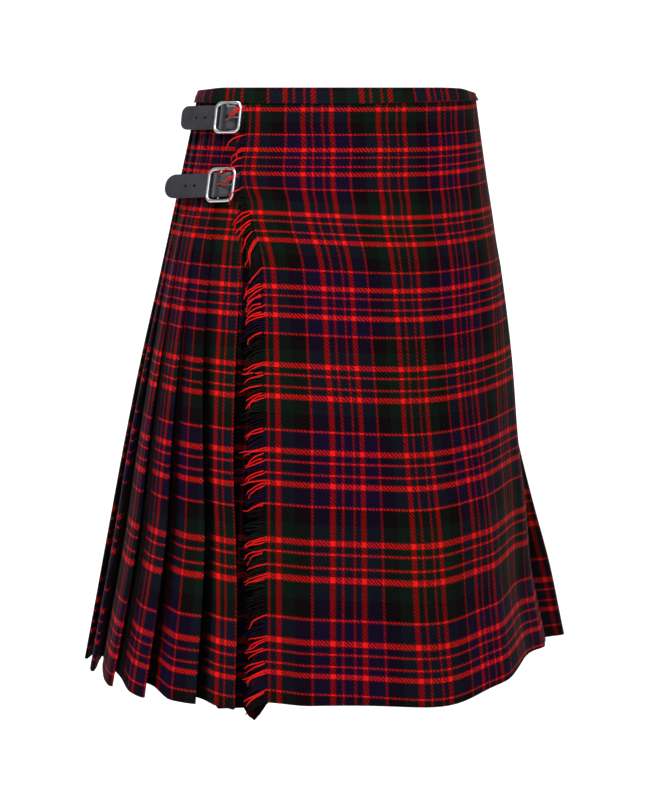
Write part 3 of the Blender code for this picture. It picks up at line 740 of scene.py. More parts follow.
def shaded(piece, angle):
    """Smooth the faces of a piece, with crisp edges where they turn by more than the angle."""
    for face in piece.data.polygons:
        face.use_smooth = True
    piece.data.set_sharp_from_angle(angle=math.radians(angle))
    return piece


def linked(name, shape):
    mesh = bpy.data.meshes.new(name)
    shape.to_mesh(mesh)
    shape.free()
    piece = bpy.data.objects.new(name, mesh)
    bpy.context.scene.collection.objects.link(piece)
    return piece


def grid_sheet(name, across, down, point, threads, wall, shades=None):
    """Grid of across x down cells laid on point(column, row), then given its wall.

    Threads gives the place in the stripes and the place among the yarns, shades how open to
    the light the cloth lies.
    """
    shape = bmesh.new()
    bmesh.ops.create_grid(shape, x_segments=across, y_segments=down, size=0.5)
    layers = [shape.loops.layers.uv.new(label) for label in ("threads", "yarns", "shades")]
    maps = {}
    for vert in shape.verts:
        column = round((vert.co.x + 0.5) * across)
        row = round((0.5 - vert.co.y) * down)
        counts = threads(column, row)
        maps[vert] = (counts[:2], counts[2:], (shades(column, row) if shades else 1.0, 0.0))
        vert.co = point(column, row)
    for face in shape.faces:
        for loop in face.loops:
            for layer, place in zip(layers, maps[loop.vert]):
                loop[layer].uv = place
    bmesh.ops.recalc_face_normals(shape, faces=shape.faces)
    piece = linked(name, shape)
    thicken = piece.modifiers.new("wall", "SOLIDIFY")
    thicken.thickness = wall
    thicken.offset = 0.0
    thicken.use_even_offset = True
    return settled(piece)


def woven_sheet(name, run_at, count, shift, rise):
    """Cloth from just under the rolled top of the waistband to the hem, its width and flat area.

    Shift says how far the weft drifts down at a place of a run, rise how far the cloth is lifted.
    """
    drops = [SHEET_TOP + (CLOTH_LENGTH - SHEET_TOP) * row / count for row in range(count + 1)]
    runs = [run_at(drop) for drop in drops]

    def point(column, row):
        plan = runs[row][column][0]
        return Vector((plan.x, plan.y, TOP_EDGE - drops[row] + rise(runs[row], column, drops[row])))

    def threads(column, row):
        drop = drops[row] + shift(runs[row][column], drops[row])
        return runs[row][column][1], weft(drop), runs[row][column][2], YARNS_A_METRE * drop

    def shades(column, row):
        return runs[row][column][3]

    sheet = grid_sheet(name, len(runs[0]) - 1, count, point, threads, CLOTH_WALL, shades)
    widths = [lengths_of([place[0] for place in run])[-1] for run in runs]
    area = 0.0
    for low in range(count):
        area += (widths[low] + widths[low + 1]) / 2 * (drops[low + 1] - drops[low])
    return shaded(sheet, 55.0), max(widths), area


def settled_shift(drop):
    """The weft lies level under the waistband and drifts below it."""
    return ease((drop - 0.07) / 0.06)


def front_angle(plan):
    """Angle of a point of the over apron about the middle of its hem."""
    return math.degrees(math.atan2(plan.x, HEM_CENTRE - plan.y))


def pleat_shift(place, drop):
    return PLEAT_SHIFT * settled_shift(drop)


def apron_shift(place, drop):
    """The weft of the over apron also climbs where it is drawn over the hip."""
    climb = smooth(CLIMB_ROWS, drop) * min(max((front_angle(place[0]) - 32.0) / 54.0, 0.0), 1.0) ** 1.5
    return climb + smooth(APRON_SHIFT_ROWS, place[4]) * settled_shift(drop)


def pleat_rise(run, column, drop):
    return run[column][4]


def apron_rise(run, column, drop):
    """The folds draw the hem up at the hip and let it sag in front of it."""
    angle = front_angle(run[column][0])
    pulled = sum(height * hump(angle, middle, spread) for middle, spread, height in APRON_HEM)
    return pulled * (drop / CLOTH_LENGTH) ** 1.6


@cache
def lowest_x():
    """Where the inner front hangs lowest, just past the free edge of the outer one."""
    return frame_on(apron_line, edge_angle(CLOTH_LENGTH), CLOTH_LENGTH)[0].x - SAG_PAST


def under_rise(run, column, drop):
    return -SAG_DEPTH * hump(run[column][0].x, lowest_x(), SAG_SPREAD) * (drop / CLOTH_LENGTH) ** 8


def left_rise(run, column, drop):
    """The hidden start of the first pleat hangs with the inner front it is sewn to."""
    share = min(column / LEAD_COLUMNS, 1.0)
    return pleat_rise(run, column, drop) * share + under_rise(run, 0, drop) * (1 - share)


def make_cloth():
    """The four woven sheets by the CAD nodes they stand for."""
    return {
        "pleats_left": woven_sheet("pleats_left_cloth", left_pleats_run, 96, pleat_shift, left_rise),
        "pleats_right": woven_sheet("pleats_right_cloth", right_pleats_run, 96, pleat_shift, pleat_rise),
        "over_apron": woven_sheet("over_apron_cloth", over_apron_run, 120, apron_shift, apron_rise),
        "under_apron": woven_sheet("under_apron_cloth", under_apron_run, 60, pleat_shift, under_rise),
    }


def band_stations(drop):
    """Places along the wrap at a drop: plan point, inward, outer leg and inner leg offsets."""
    leg = CLOTH_WALL / 2 + BAND_CLEAR + BAND_WALL / 2
    deep = depth("depth", drop) + leg
    stations = []
    path = [place[0] for place in under_apron_run(drop)][:UNDER_STEPS - 3]
    for low, high in zip(path[:-1:2], path[1::2]):
        travel = (high - low).normalized()
        stations.append((low, Vector((travel.y, -travel.x)), -leg, leg))
    first = pleat_fold(0, drop)
    start = depth("depth", drop) - 0.4 * depth("bend", drop)
    stations.append((at(first, -0.0058, 0), first[2], start - leg, start + leg))
    stations.append((at(first, -0.0018, 0), first[2], -leg, deep))
    hip = apron("hip_angle", drop)
    for index in range(PLEAT_COUNT):
        here = pleat_fold(index, drop)
        if index > 0:
            stations.append((here[0], here[2], -leg, deep))
        angle = pleat_angle(index, drop)
        after = pleat_angle(index + 1, drop) if index < PLEAT_COUNT - 1 else hip - 360.0
        for share in (0.25, 0.5, 0.75):
            point, travel, inward = frame_on(body_line, angle * (1 - share) + after * share, drop)
            stations.append((point, inward, -leg, deep))
    last = pleat_fold(PLEAT_COUNT, drop)
    stations.append((at(last, 0.0002, 0), last[2], -leg, deep))
    stations.append((at(last, 0.0070, 0), last[2], -leg, deep))
    edge = edge_angle(drop)
    for step in range(3, BAND_STEPS + 1):
        point, travel, inward = frame_on(apron_line, hip + (edge - hip) * step / BAND_STEPS, drop)
        stations.append((point, inward, -leg, leg))
    return stations


def band_lift(x):
    """How far the lower edge of the waistband climbs toward the wearer's left."""
    return 0.0022 * ease((x - 0.02) / 0.10)


def band_dip(x):
    """How far the top of the waistband sinks toward the wearer's sides."""
    if x < 0:
        return 0.0026 * ease((-0.114 - x) / 0.034)
    return 0.0014 * ease((x - 0.100) / 0.044) + 0.0040 * ease((x - 0.122) / 0.024)


def make_band():
    """Strip folded over the top edge along the whole wrap, with a rolled top, and its length."""
    high = band_stations(0.0)
    low = band_stations(BAND_DROP)
    lengths = lengths_of([station[0] for station in high])
    fall = BAND_DROP - TRIM
    # Round the section: leg (2 outer, 3 inner) and share of its fall, or a turn of the roll.
    section = [(2, share, 0) for share in (1.0, 0.8, 0.6, 0.4, 0.2, 0.05)]
    section += [(None, None, turn) for turn in (150, 120, 90, 60, 30)]
    section += [(3, share, 0) for share in (0.05, 0.25, 0.5, 0.75)]

    def point(column, row):
        leg, share, turn = section[row]
        top, bottom = high[column], low[column]
        plan, inward = top[:2]
        if leg:
            plan = plan.lerp(bottom[0], share)
            inward = inward.lerp(bottom[1], share)
            offset = top[leg] * (1 - share) + bottom[leg] * share
            if leg == 2:
                offset -= 0.0005 * math.sin(math.pi * min(share, 1.0)) ** 2
            height = TOP_EDGE - TRIM - share * (fall - band_lift(top[0].x))
        else:
            middle, half = (top[2] + top[3]) / 2, (top[3] - top[2]) / 2
            offset = middle - half * math.cos(math.radians(180 - turn))
            height = TOP_EDGE - TRIM + 0.0004 + BAND_ROLL * math.sin(math.radians(turn))
        place = plan + inward * offset
        dip = band_dip(place.x)
        if leg:
            dip *= max(1 - share, 0.0)
        return Vector((place.x, place.y, height - dip))

    climbed = []
    for leg, share, turn in section:
        if leg:
            climbed.append(fall * (1 - share) if leg == 2 else fall * (1 + share) + BAND_ROLL * math.pi)
        else:
            climbed.append(fall + BAND_ROLL * math.radians(180 - turn))

    def threads(column, row):
        length = lengths[-1] - lengths[column]
        climb = climbed[row]
        return (-warp_on_apron(length, 0.0) - BAND_WARP, BAND_WEFT + THREADS_A_METRE * climb,
                -YARNS_A_METRE * length, YARNS_A_METRE * climb)

    piece = grid_sheet("waistband_cloth", len(high) - 1, len(section) - 1, point, threads, BAND_WALL)
    return shaded(piece, 60.0), lengths[-1]


def edge_weft(drop):
    """Thread count of the weft where it leaves the free edge."""
    return weft(drop + APRON_SHIFT_ROWS[0][1] * settled_shift(drop))


def make_fringe():
    """Narrow heading along the free edge, with strands drawn out of every other face."""
    shape = bmesh.new()
    run_layer = shape.verts.layers.float.new("run")
    weft_layer = shape.verts.layers.float.new("weft")
    length = CLOTH_LENGTH - FRINGE_START
    frames = {}

    def frame_at(drop):
        key = round(drop, 5)
        if key not in frames:
            frames[key] = frame_on(apron_line, edge_angle(drop), drop)
        return frames[key]

    def laid(vert, drop):
        vert[run_layer] = 0.0
        vert[weft_layer] = edge_weft(drop)

    bmesh.ops.create_grid(shape, x_segments=1, y_segments=2 * STRAND_COUNT, size=0.5)
    for vert in shape.verts:
        share = 0.5 - vert.co.y
        drop = FRINGE_START + length * (1.04 * share - 0.04 * share ** 16)
        plan = at(frame_at(drop), SEAM + HEADING_WIDTH * (vert.co.x + 0.5), -0.5 * CLOTH_WALL)
        laid(vert, drop)
        vert.co = Vector((plan.x, plan.y, TOP_EDGE - drop))
    raised = bmesh.ops.extrude_face_region(shape, geom=list(shape.faces))
    for item in raised["geom"]:
        if isinstance(item, bmesh.types.BMVert):
            inward = frame_at(TOP_EDGE - item.co.z)[2]
            laid(item, TOP_EDGE - item.co.z)
            item.co += Vector((inward.x, inward.y, 0)) * CLOTH_WALL
    bmesh.ops.recalc_face_normals(shape, faces=shape.faces)
    tips = []
    for face in shape.faces:
        middle = face.calc_center_median()
        drop = TOP_EDGE - middle.z
        point, travel, inward = frame_at(drop)
        if (Vector((middle.x, middle.y)) - point).dot(travel) > SEAM + HEADING_WIDTH - 0.0001:
            tips.append((drop, face))
    tips.sort(key=lambda pair: pair[0])
    for count, (drop, face) in enumerate(tips[::2]):
        draw_strand(shape, face, count, drop, frame_at(drop), run_layer, weft_layer)
    layer = shape.loops.layers.uv.new("threads")
    for face in shape.faces:
        for loop in face.loops:
            loop[layer].uv = (loop.vert[run_layer], loop.vert[weft_layer])
    return shaded(linked("fringe_yarns", shape), 70.0)


def is_red(threads):
    """Whether a thread count falls in one of the red bars of the repeat."""
    place = threads % (2 * HALF_REPEAT)
    if place > HALF_REPEAT:
        place = 2 * HALF_REPEAT - place
    low = 0
    for colour, count in SETT:
        if low <= place < low + count:
            return colour == "red"
        low += count
    return False


def strand_thread(drop):
    """Weft thread that a strand is made of, and whether it is a red one."""
    own = edge_weft(drop)
    if drop < 0.0215:
        own += 7.0
    for off in (0.0, -0.7, 0.7, -1.3, 1.3):
        if is_red(own + off):
            return own + off, True
    return own, False


def strap_nearness(drop):
    """How close a drop is to the middle of a buckle, as a share of half its height."""
    rows = [named(STRAP_COLUMNS, row) for row in STRAP_ROWS]
    return min(abs(TOP_EDGE - drop - row["height"]) / (row["tall"] / 2) for row in rows)


def draw_strand(shape, face, count, drop, frame, run_layer, weft_layer):
    """Pull one strand out of a face of the heading: outward, then drooping and curling."""
    travel, inward = frame[1:]
    away = Vector((travel.x, travel.y, 0))
    out = Vector((-inward.x, -inward.y, 0))
    own_weft, red = strand_thread(drop)
    stray, bend, size = (noise.noise(Vector((count * 1.37, 2.1 + 5.3 * kind, 0.7))) for kind in range(3))
    tuft = noise.noise(Vector((drop * 42.0, 8.3, 0.0)))
    curl = hump(drop, 0.157, 0.028)
    corner = ease((drop - 0.560) / 0.05)
    between = 1.0 - ease((drop - 0.095) / 0.03)
    first = 5.0 + 20.0 * stray + 56.0 * curl + 19.0 * corner
    last = 42.0 + 50.0 * bend + 28.0 * tuft + 42.0 * curl + (8.0 if red else 0.0)
    last += (52.0 + 14.0 * bend - last) * corner
    last += 8.0 * between + 30.0 * between * stray
    length = STRAND_LENGTH * (1.0 + 0.42 * size + 0.14 * tuft + (0.06 if red else 0.0) + 0.55 * curl)
    length += (0.0245 + 0.0030 * size - length) * corner
    length *= 1.0 - 0.34 * between
    lift = 0.0012 + 0.0012 * stray + 0.0066 * ease((drop - 0.14) / 0.17) + (0.0010 if red else 0.0)
    slim = 1.0
    if strap_nearness(drop) < 1.25:
        slim = 0.86
        if red:
            length *= 1.45
            lift += 0.0084
            first += 12.0
            last += 8.0
        else:
            length *= 0.52
            lift += 0.0036
    ahead = away.copy()
    tip = face
    run = 0.0
    raised = 0.0
    reach = length / STRAND_SEGMENTS
    for segment, width in enumerate(STRAND_WIDTHS):
        share = (segment + 1) / STRAND_SEGMENTS
        fall = first + (last - first) * share ** 1.3
        fall += (56.0 - 34.0 * corner) * share * noise.noise(Vector((count * 0.91, 3.6 * share, 4.0)))
        swing = math.radians(min(max(fall, -14.0), 89.0))
        heading = away * math.cos(swing) + Vector((0, 0, -math.sin(swing)))
        height = lift * (1 - (1 - min(share / 0.6, 1.0)) ** 2) - 0.10 * lift * share ** 4
        height += 0.0011 * share * noise.noise(Vector((count * 1.7, 2.3 * share, 9.0)))
        tip = bmesh.ops.extrude_discrete_faces(shape, faces=[tip])["faces"][0]
        bmesh.ops.translate(shape, verts=tip.verts, vec=heading * reach + out * (height - raised))
        middle = tip.calc_center_median()
        turn = ahead.rotation_difference(heading).to_matrix()
        bmesh.ops.rotate(shape, verts=tip.verts, cent=middle, matrix=turn)
        if segment == 0:
            width = width * slim + 1.1 * corner
        bmesh.ops.scale(shape, verts=tip.verts, vec=(width, width, width), space=Matrix.Translation(-middle))
        ahead = heading
        raised = height
        run += reach
        for vert in tip.verts:
            vert[run_layer] = run
            vert[weft_layer] = own_weft


def make_stitches():
    """Small slanted hand stitches that hold the lower edge of the waistband, in one thread."""
    shape = bmesh.new()
    spots = band_stations(BAND_DROP)
    lengths = lengths_of([spot[0] for spot in spots])
    start = pleat_fold(0, BAND_DROP)[0]
    station = [count for count, spot in enumerate(spots) if (spot[0] - start).length < 0.003][0]
    along = lengths[station]
    while along < lengths[-1] - 0.004:
        while station < len(lengths) - 2 and lengths[station + 1] < along:
            station += 1
        low, high = spots[station], spots[station + 1]
        share = (along - lengths[station]) / (lengths[station + 1] - lengths[station])
        inward = low[1].lerp(high[1], share).normalized()
        plan = low[0].lerp(high[0], share) + inward * (low[2] * (1 - share) + high[2] * share - 0.0006)
        height = TOP_EDGE - BAND_DROP + band_lift(plan.x) + 0.0006
        bead = bmesh.ops.create_uvsphere(shape, u_segments=6, v_segments=4, radius=STITCH_RADIUS)["verts"]
        bmesh.ops.scale(shape, verts=bead, vec=(1.0, 1.0, STITCH_STRETCH))
        lean = Matrix.Rotation(0.5 + 0.2 * wander(station, along, 90.0), 3, Vector((inward.x, inward.y, 0)))
        bmesh.ops.rotate(shape, verts=bead, cent=(0, 0, 0), matrix=lean)
        bmesh.ops.translate(shape, verts=bead, vec=(plan.x, plan.y, height))
        along += STITCH_PITCH
    return shaded(linked("waistband_stitches", shape), 80.0)


# ---------------------------------------------------------------- straps and buckles

def strap_frame(strap):
    """Frame at a buckle: its middle, the way to the strap's tip, outward, and its two slopes."""
    drop = TOP_EDGE - strap["height"]
    spot = frame_on(body_line, strap["angle"], drop)
    middle = at(spot, 0, -FRAME_LIFT)
    higher = body_line(strap["angle"], drop - STRAP_WIDTH / 2)
    lower = body_line(strap["angle"], drop + STRAP_WIDTH / 2)
    lean = (higher - lower).dot(-spot[2]) / STRAP_WIDTH
    return Vector((middle.x, middle.y, strap["height"])), spot[1], -spot[2], (strap["slope"], lean)


def from_frame(frame, along, out, up):
    """Point near a buckle: along the strap, out from the cloth and up, on the slope of the cloth."""
    middle, travel, outward, (slope, lean) = frame
    plan = travel * along + outward * (out + up * lean)
    return Vector((middle.x + plan.x, middle.y + plan.y, middle.z + up - along * slope))


def hidden_end(strap, frame):
    """Side view of the strap's sewn end, between the two aprons."""
    middle, travel, outward = frame[:3]
    drop = TOP_EDGE - strap["height"]
    edge = edge_angle(drop)
    points = []
    for past, inset in ((5.5, 0.0028), (3.0, 0.0029), (0.8, 0.0031), (-1.6, 0.0027)):
        plan = at(frame_on(apron_line, edge + past, drop), 0, inset)
        offset = plan - Vector((middle.x, middle.y))
        points.append((offset.dot(travel), offset.dot(outward)))
    return points


def strap_run(strap, frame):
    """Side view of a strap: distance along it and height over the buckle's plane."""
    half = strap["wide"] / 2
    under_bar = -(FRAME_RADIUS + 0.0004 + STRAP_WALL / 2)
    over_bar = BAR_RADIUS + 0.0003 + 2 * PRONG_RADIUS + 0.0003 + STRAP_WALL / 2
    return hidden_end(strap, frame) + [
        (-half - 0.0060, under_bar - 0.0009),
        (-half, under_bar),
        (-0.76 * half, under_bar + 0.0003),
        (-0.50 * half, 0.0004),
        (-0.26 * half, over_bar - 0.0010),
        (0.0, over_bar),
        (0.26 * half, over_bar - 0.0010),
        (0.50 * half, 0.0004),
        (0.76 * half, under_bar + 0.0003),
        (half, under_bar),
        (half + 0.0060, under_bar + 0.0002),
        (half + 0.0200, under_bar + 0.0002),
        (strap["reach"] - strap["round"], under_bar + 0.0002),
    ]


def smooth_run(marks):
    """Marks as vectors, with a smooth curve between them."""
    points = [Vector(mark) for mark in marks]
    chain = [2 * points[0] - points[1]] + points + [2 * points[-1] - points[-2]]
    return [points[0]] + curve_through(chain, [3] * (len(points) - 1))


def hook(ring, side, turns):
    """Side view of a hook round the middle bar, bent to one side of it."""
    swings = [math.radians(turn) for turn in turns]
    return [Vector((side * ring * math.cos(swing), ring * math.sin(swing))) for swing in swings]


def carved(piece, other, operation="DIFFERENCE"):
    """Cut one piece out of another, or join it on."""
    step = piece.modifiers.new("carve", "BOOLEAN")
    step.operation = operation
    step.solver = "EXACT"
    step.object = other
    settled(piece)
    bpy.data.objects.remove(other)
    return piece


def soften(piece, width):
    round_off = piece.modifiers.new("edges", "BEVEL")
    round_off.width = width
    round_off.segments = 2
    round_off.limit_method = "ANGLE"
    round_off.angle_limit = math.radians(50)
    round_off.harden_normals = False
    return settled(piece)


def peg(frame, along, radius):
    """Upright peg across a strap, used to cut its holes."""
    shape = bmesh.new()
    bmesh.ops.create_cone(shape, cap_ends=True, segments=20, radius1=radius, radius2=radius, depth=0.02)
    outward = frame[2]
    turn = Vector((0, 0, 1)).rotation_difference(Vector((outward.x, outward.y, 0))).to_matrix().to_4x4()
    spot = Matrix.Translation(from_frame(frame, along, 0.0, 0.0))
    bmesh.ops.transform(shape, matrix=spot @ turn, verts=shape.verts)
    return linked("peg", shape)


def leather_strip(name, frame, run, half_at, lengths, wall, shades=None):
    """Leather on a side view, half_at(distance along it) to each side of its middle line."""
    def point(column, row):
        along, out = run[column]
        return from_frame(frame, along, out, half_at(along) * (1 - 2 * row / ACROSS_STRAP))

    def grain(column, row):
        up = STRAP_WIDTH * (0.5 - row / ACROSS_STRAP)
        return lengths[column], up, lengths[column], up

    return grid_sheet(name, len(run) - 1, ACROSS_STRAP, point, grain, wall, shades)


def make_strap(strap, frame):
    run = smooth_run(strap_run(strap, frame))
    floor = run[-1].y
    tip = strap["round"]
    start = strap["reach"] - tip
    for step in range(1, 11):
        run.append(Vector((strap["reach"] - tip * (1 - math.sin(math.radians(9 * step))), floor)))

    def half_at(along):
        """Half width, drawn in round the tip."""
        if along <= start:
            return STRAP_WIDTH / 2
        share = (along - start) / tip
        return STRAP_WIDTH / 2 - tip * (1 - math.sqrt(max(1 - share * share, 0.0))) * 0.86

    def shades(column, row):
        """Painted shade at the sewn end and beside the frame, and a painted highlight along the crest over
        the bar.
        """
        along = run[column][0]
        inside = ease((strap["wide"] / 2 + 0.0005 - along) / 0.003)
        crest = 2.3 * hump(along, 0.0040, 0.0032) - 0.52
        return (0.18 + 0.82 * ease((along + strap["wide"] / 2 + 0.0045) / 0.004)) * (1 + inside * crest)

    name = strap["name"] + "_strap_leather"
    piece = leather_strip(name, frame, run, half_at, lengths_of(run), STRAP_WALL, shades)
    for step in range(strap["holes"]):
        carved(piece, peg(frame, strap["first_hole"] + HOLE_PITCH * step, HOLE_RADIUS))
    carved(piece, peg(frame, PRONG_HOLE, PRONG_HOLE_RADIUS))
    return shaded(soften(piece, 0.00045), 35.0)


def make_tab(strap, frame):
    """Short leather that holds the buckle: it comes from the pleats and hooks round the middle bar."""
    ring = BAR_RADIUS + 0.0002 + TAB_WALL / 2
    floor = -FRAME_LIFT + CLOTH_WALL / 2 + 0.0003 + TAB_WALL / 2
    run = smooth_run([(0.0235, floor - 0.0012), (0.0150, floor - 0.0002), (0.0095, floor),
                      (0.0045, -ring - 0.0010)])
    run += hook(ring, -1, range(-90, 131, 20))
    lengths = [0.0012 * column for column in range(len(run))]
    name = strap["name"] + "_tab_piece"
    piece = leather_strip(name, frame, run, lambda along: STRAP_WIDTH / 2 - 0.0016, lengths, TAB_WALL)
    slot = bmesh.new()
    bmesh.ops.create_cube(slot, size=1.0)
    travel, outward = frame[1:3]
    turn = Matrix((
        (travel.x, outward.x, 0, 0),
        (travel.y, outward.y, 0, 0),
        (0, 0, 1, 0),
        (0, 0, 0, 1),
    ))
    spot = Matrix.Translation(from_frame(frame, 0.0, 0.0, 0.0))
    size = Matrix.Diagonal((*PRONG_SLOT, 1.0))
    bmesh.ops.transform(slot, matrix=spot @ turn @ size, verts=slot.verts)
    bmesh.ops.recalc_face_normals(slot, faces=slot.faces)
    carved(piece, linked("slot", slot))
    return shaded(soften(piece, 0.00025), 35.0)


def wire(name, points, radius, closed, rounds):
    """Round wire through points, with filled ends when open."""
    curve = bpy.data.curves.new(name, "CURVE")
    curve.dimensions = "3D"
    curve.bevel_depth = radius
    curve.bevel_resolution = rounds
    curve.resolution_u = 1
    curve.use_fill_caps = True
    line = curve.splines.new("POLY")
    line.points.add(len(points) - 1)
    for spot, point in zip(line.points, points):
        spot.co = (*point, 1.0)
    line.use_cyclic_u = closed
    drawn = bpy.data.objects.new(name + "_curve", curve)
    bpy.context.scene.collection.objects.link(drawn)
    mesh = bpy.data.meshes.new_from_object(drawn)
    bpy.data.objects.remove(drawn)
    shape = bmesh.new()
    shape.from_mesh(mesh)
    bpy.data.meshes.remove(mesh)
    bmesh.ops.remove_doubles(shape, verts=shape.verts, dist=1e-6)
    bmesh.ops.recalc_face_normals(shape, faces=shape.faces)
    return linked(name, shape)


def make_buckle(strap, frame):
    """Rounded frame, with its middle bar joined to it."""
    half_tall = strap["tall"] / 2 - FRAME_RADIUS
    points = []
    for side_x, side_z, first in ((1, 1, 0), (-1, 1, 90), (-1, -1, 180), (1, -1, 270)):
        side = strap["wide"] / 2 if side_x > 0 else strap["back"]
        for step in range(10):
            swing = math.radians(first + 10 * step)
            along = side_x * (side - FRAME_CORNER) + FRAME_CORNER * math.cos(swing)
            up = side_z * (half_tall - FRAME_CORNER) + FRAME_CORNER * math.sin(swing)
            points.append(from_frame(frame, along, 0.0, up))
    piece = wire(strap["name"] + "_buckle_frame", points, FRAME_RADIUS + 0.0002, True, 5)
    ends = [from_frame(frame, 0.0, 0.0, side * half_tall) for side in (-1, 1)]
    return shaded(carved(piece, wire("bar", ends, BAR_RADIUS, False, 4), "UNION"), 40.0)


def make_prong(strap, frame):
    """Tongue hooked round the middle bar, up through its hole and over the far side of the frame."""
    run = hook(BAR_RADIUS + 0.0003 + PRONG_RADIUS, 1, range(150, -141, -29))
    run += smooth_run([
        (-0.0036, -0.0004),
        (-0.0046, 0.0020),
        (-0.0056, 0.0046),
        (-0.0080, 0.0054),
        (-strap["back"] - 0.0006, FRAME_RADIUS + PRONG_RADIUS + 0.0005),
    ])
    points = [from_frame(frame, along, out, 0.0) for along, out in run]
    piece = wire(strap["name"] + "_prong_pin", points, PRONG_RADIUS, False, 3)
    return shaded(soften(piece, 0.00025), 40.0)


# ---------------------------------------------------------------- finishes

class Nodes:
    """Small helper that adds nodes to a tree and links them."""

    def __init__(self, tree):
        self.tree = tree

    def add(self, kind, settings=(), **inputs):
        node = self.tree.nodes.new(kind)
        for key, value in settings:
            setattr(node, key, value)
        for key, value in inputs.items():
            self.feed(node.inputs[key.replace("_", " ")], value)
        return node

    def feed(self, socket, value):
        if isinstance(value, bpy.types.NodeSocket):
            self.tree.links.new(value, socket)
        else:
            socket.default_value = value

    def work(self, operation, *values):
        node = self.add("ShaderNodeMath", (("operation", operation),))
        for socket, value in zip(node.inputs, values):
            self.feed(socket, value)
        return node.outputs[0]

    def plus(self, first, second):
        return self.work("ADD", first, second)

    def times(self, first, second):
        return self.work("MULTIPLY", first, second)

    def line(self, value, slope, start):
        """Value times a slope, plus a start."""
        return self.plus(self.times(value, slope), start)

    def mix(self, factor, first, second, blend="MIX"):
        settings = (("data_type", "RGBA"), ("blend_type", blend), ("clamp_factor", True))
        node = self.add("ShaderNodeMix", settings)
        for place, value in ((0, factor), (6, first), (7, second)):
            self.feed(node.inputs[place], value)
        return node.outputs[2]

    def toned(self, colour, shade):
        """Colour times a plain value."""
        tint = self.add("ShaderNodeCombineColor", Red=shade, Green=shade, Blue=shade)
        return self.mix(1.0, colour, tint.outputs[0], "MULTIPLY")

    def noise(self, vector, scale, detail=2.0, roughness=0.5):
        node = self.add("ShaderNodeTexNoise", Vector=vector, Scale=scale, Detail=detail, Roughness=roughness)
        return node.outputs["Fac"]

    def split(self, vector):
        return self.add("ShaderNodeSeparateXYZ", Vector=vector).outputs

    def map(self, name):
        return self.add("ShaderNodeUVMap", (("uv_map", name),)).outputs[0]

    def place(self):
        return self.add("ShaderNodeTexCoord").outputs["Object"]

    def light(self):
        """How open to the light a place lies."""
        return self.split(self.map("shades"))["X"]

    def group(self, tree, **inputs):
        return self.add("ShaderNodeGroup", (("node_tree", tree),), **inputs).outputs

    def surface(self, colour, roughness, relief=None, **constants):
        """Shader of a material. Relief is its height, distance and strength."""
        shader = self.add("ShaderNodeBsdfPrincipled", Base_Color=colour, Roughness=roughness, **constants)
        if relief:
            height, distance, strength = relief
            bump = self.add("ShaderNodeBump", Height=height, Distance=distance, Strength=strength)
            self.feed(shader.inputs["Normal"], bump.outputs[0])
        self.add("ShaderNodeOutputMaterial", Surface=shader.outputs[0])


def new_group(name, takes, gives):
    """Node group with its helper, its inputs and the sockets that its results go to."""
    tree = bpy.data.node_groups.new(name, "ShaderNodeTree")
    for label, kind, default in takes:
        socket = tree.interface.new_socket(label, in_out="INPUT", socket_type="NodeSocket" + kind)
        if default is not None:
            socket.default_value = default
    for label, kind in gives:
        tree.interface.new_socket(label, in_out="OUTPUT", socket_type="NodeSocket" + kind)
    start = tree.nodes.new("NodeGroupInput")
    end = tree.nodes.new("NodeGroupOutput")
    return tree, Nodes(tree), start.outputs, end.inputs


def new_material(name):
    made = bpy.data.materials.new(name)
    made.use_nodes = True
    made.node_tree.nodes.clear()
    return made, Nodes(made.node_tree)


def sett_group():
    """Colour of a yarn from its place in the repeat."""
    tree, nodes, start, end = new_group("sett_colour", (("Thread", "Float", 0.0),),
                                        (("Color", "Color"), ("Red", "Float")))
    turned = nodes.work("PINGPONG", start["Thread"], float(HALF_REPEAT))
    place = nodes.work("DIVIDE", turned, float(HALF_REPEAT))
    for label in ("Color", "Red"):
        ramp = nodes.add("ShaderNodeValToRGB", Fac=place)
        ramp.color_ramp.interpolation = "CONSTANT"
        stops = ramp.color_ramp.elements
        low = 0
        for count, (colour, wide) in enumerate(SETT):
            if count < 2:
                stop = stops[count]
                stop.position = low / HALF_REPEAT
            else:
                stop = stops.new(low / HALF_REPEAT)
            shown = YARN_COLOURS[colour] if label == "Color" else (float(colour == "red"),) * 3
            stop.color = (*shown, 1.0)
            low += wide
        nodes.feed(end[label], ramp.outputs["Color"])
    return tree


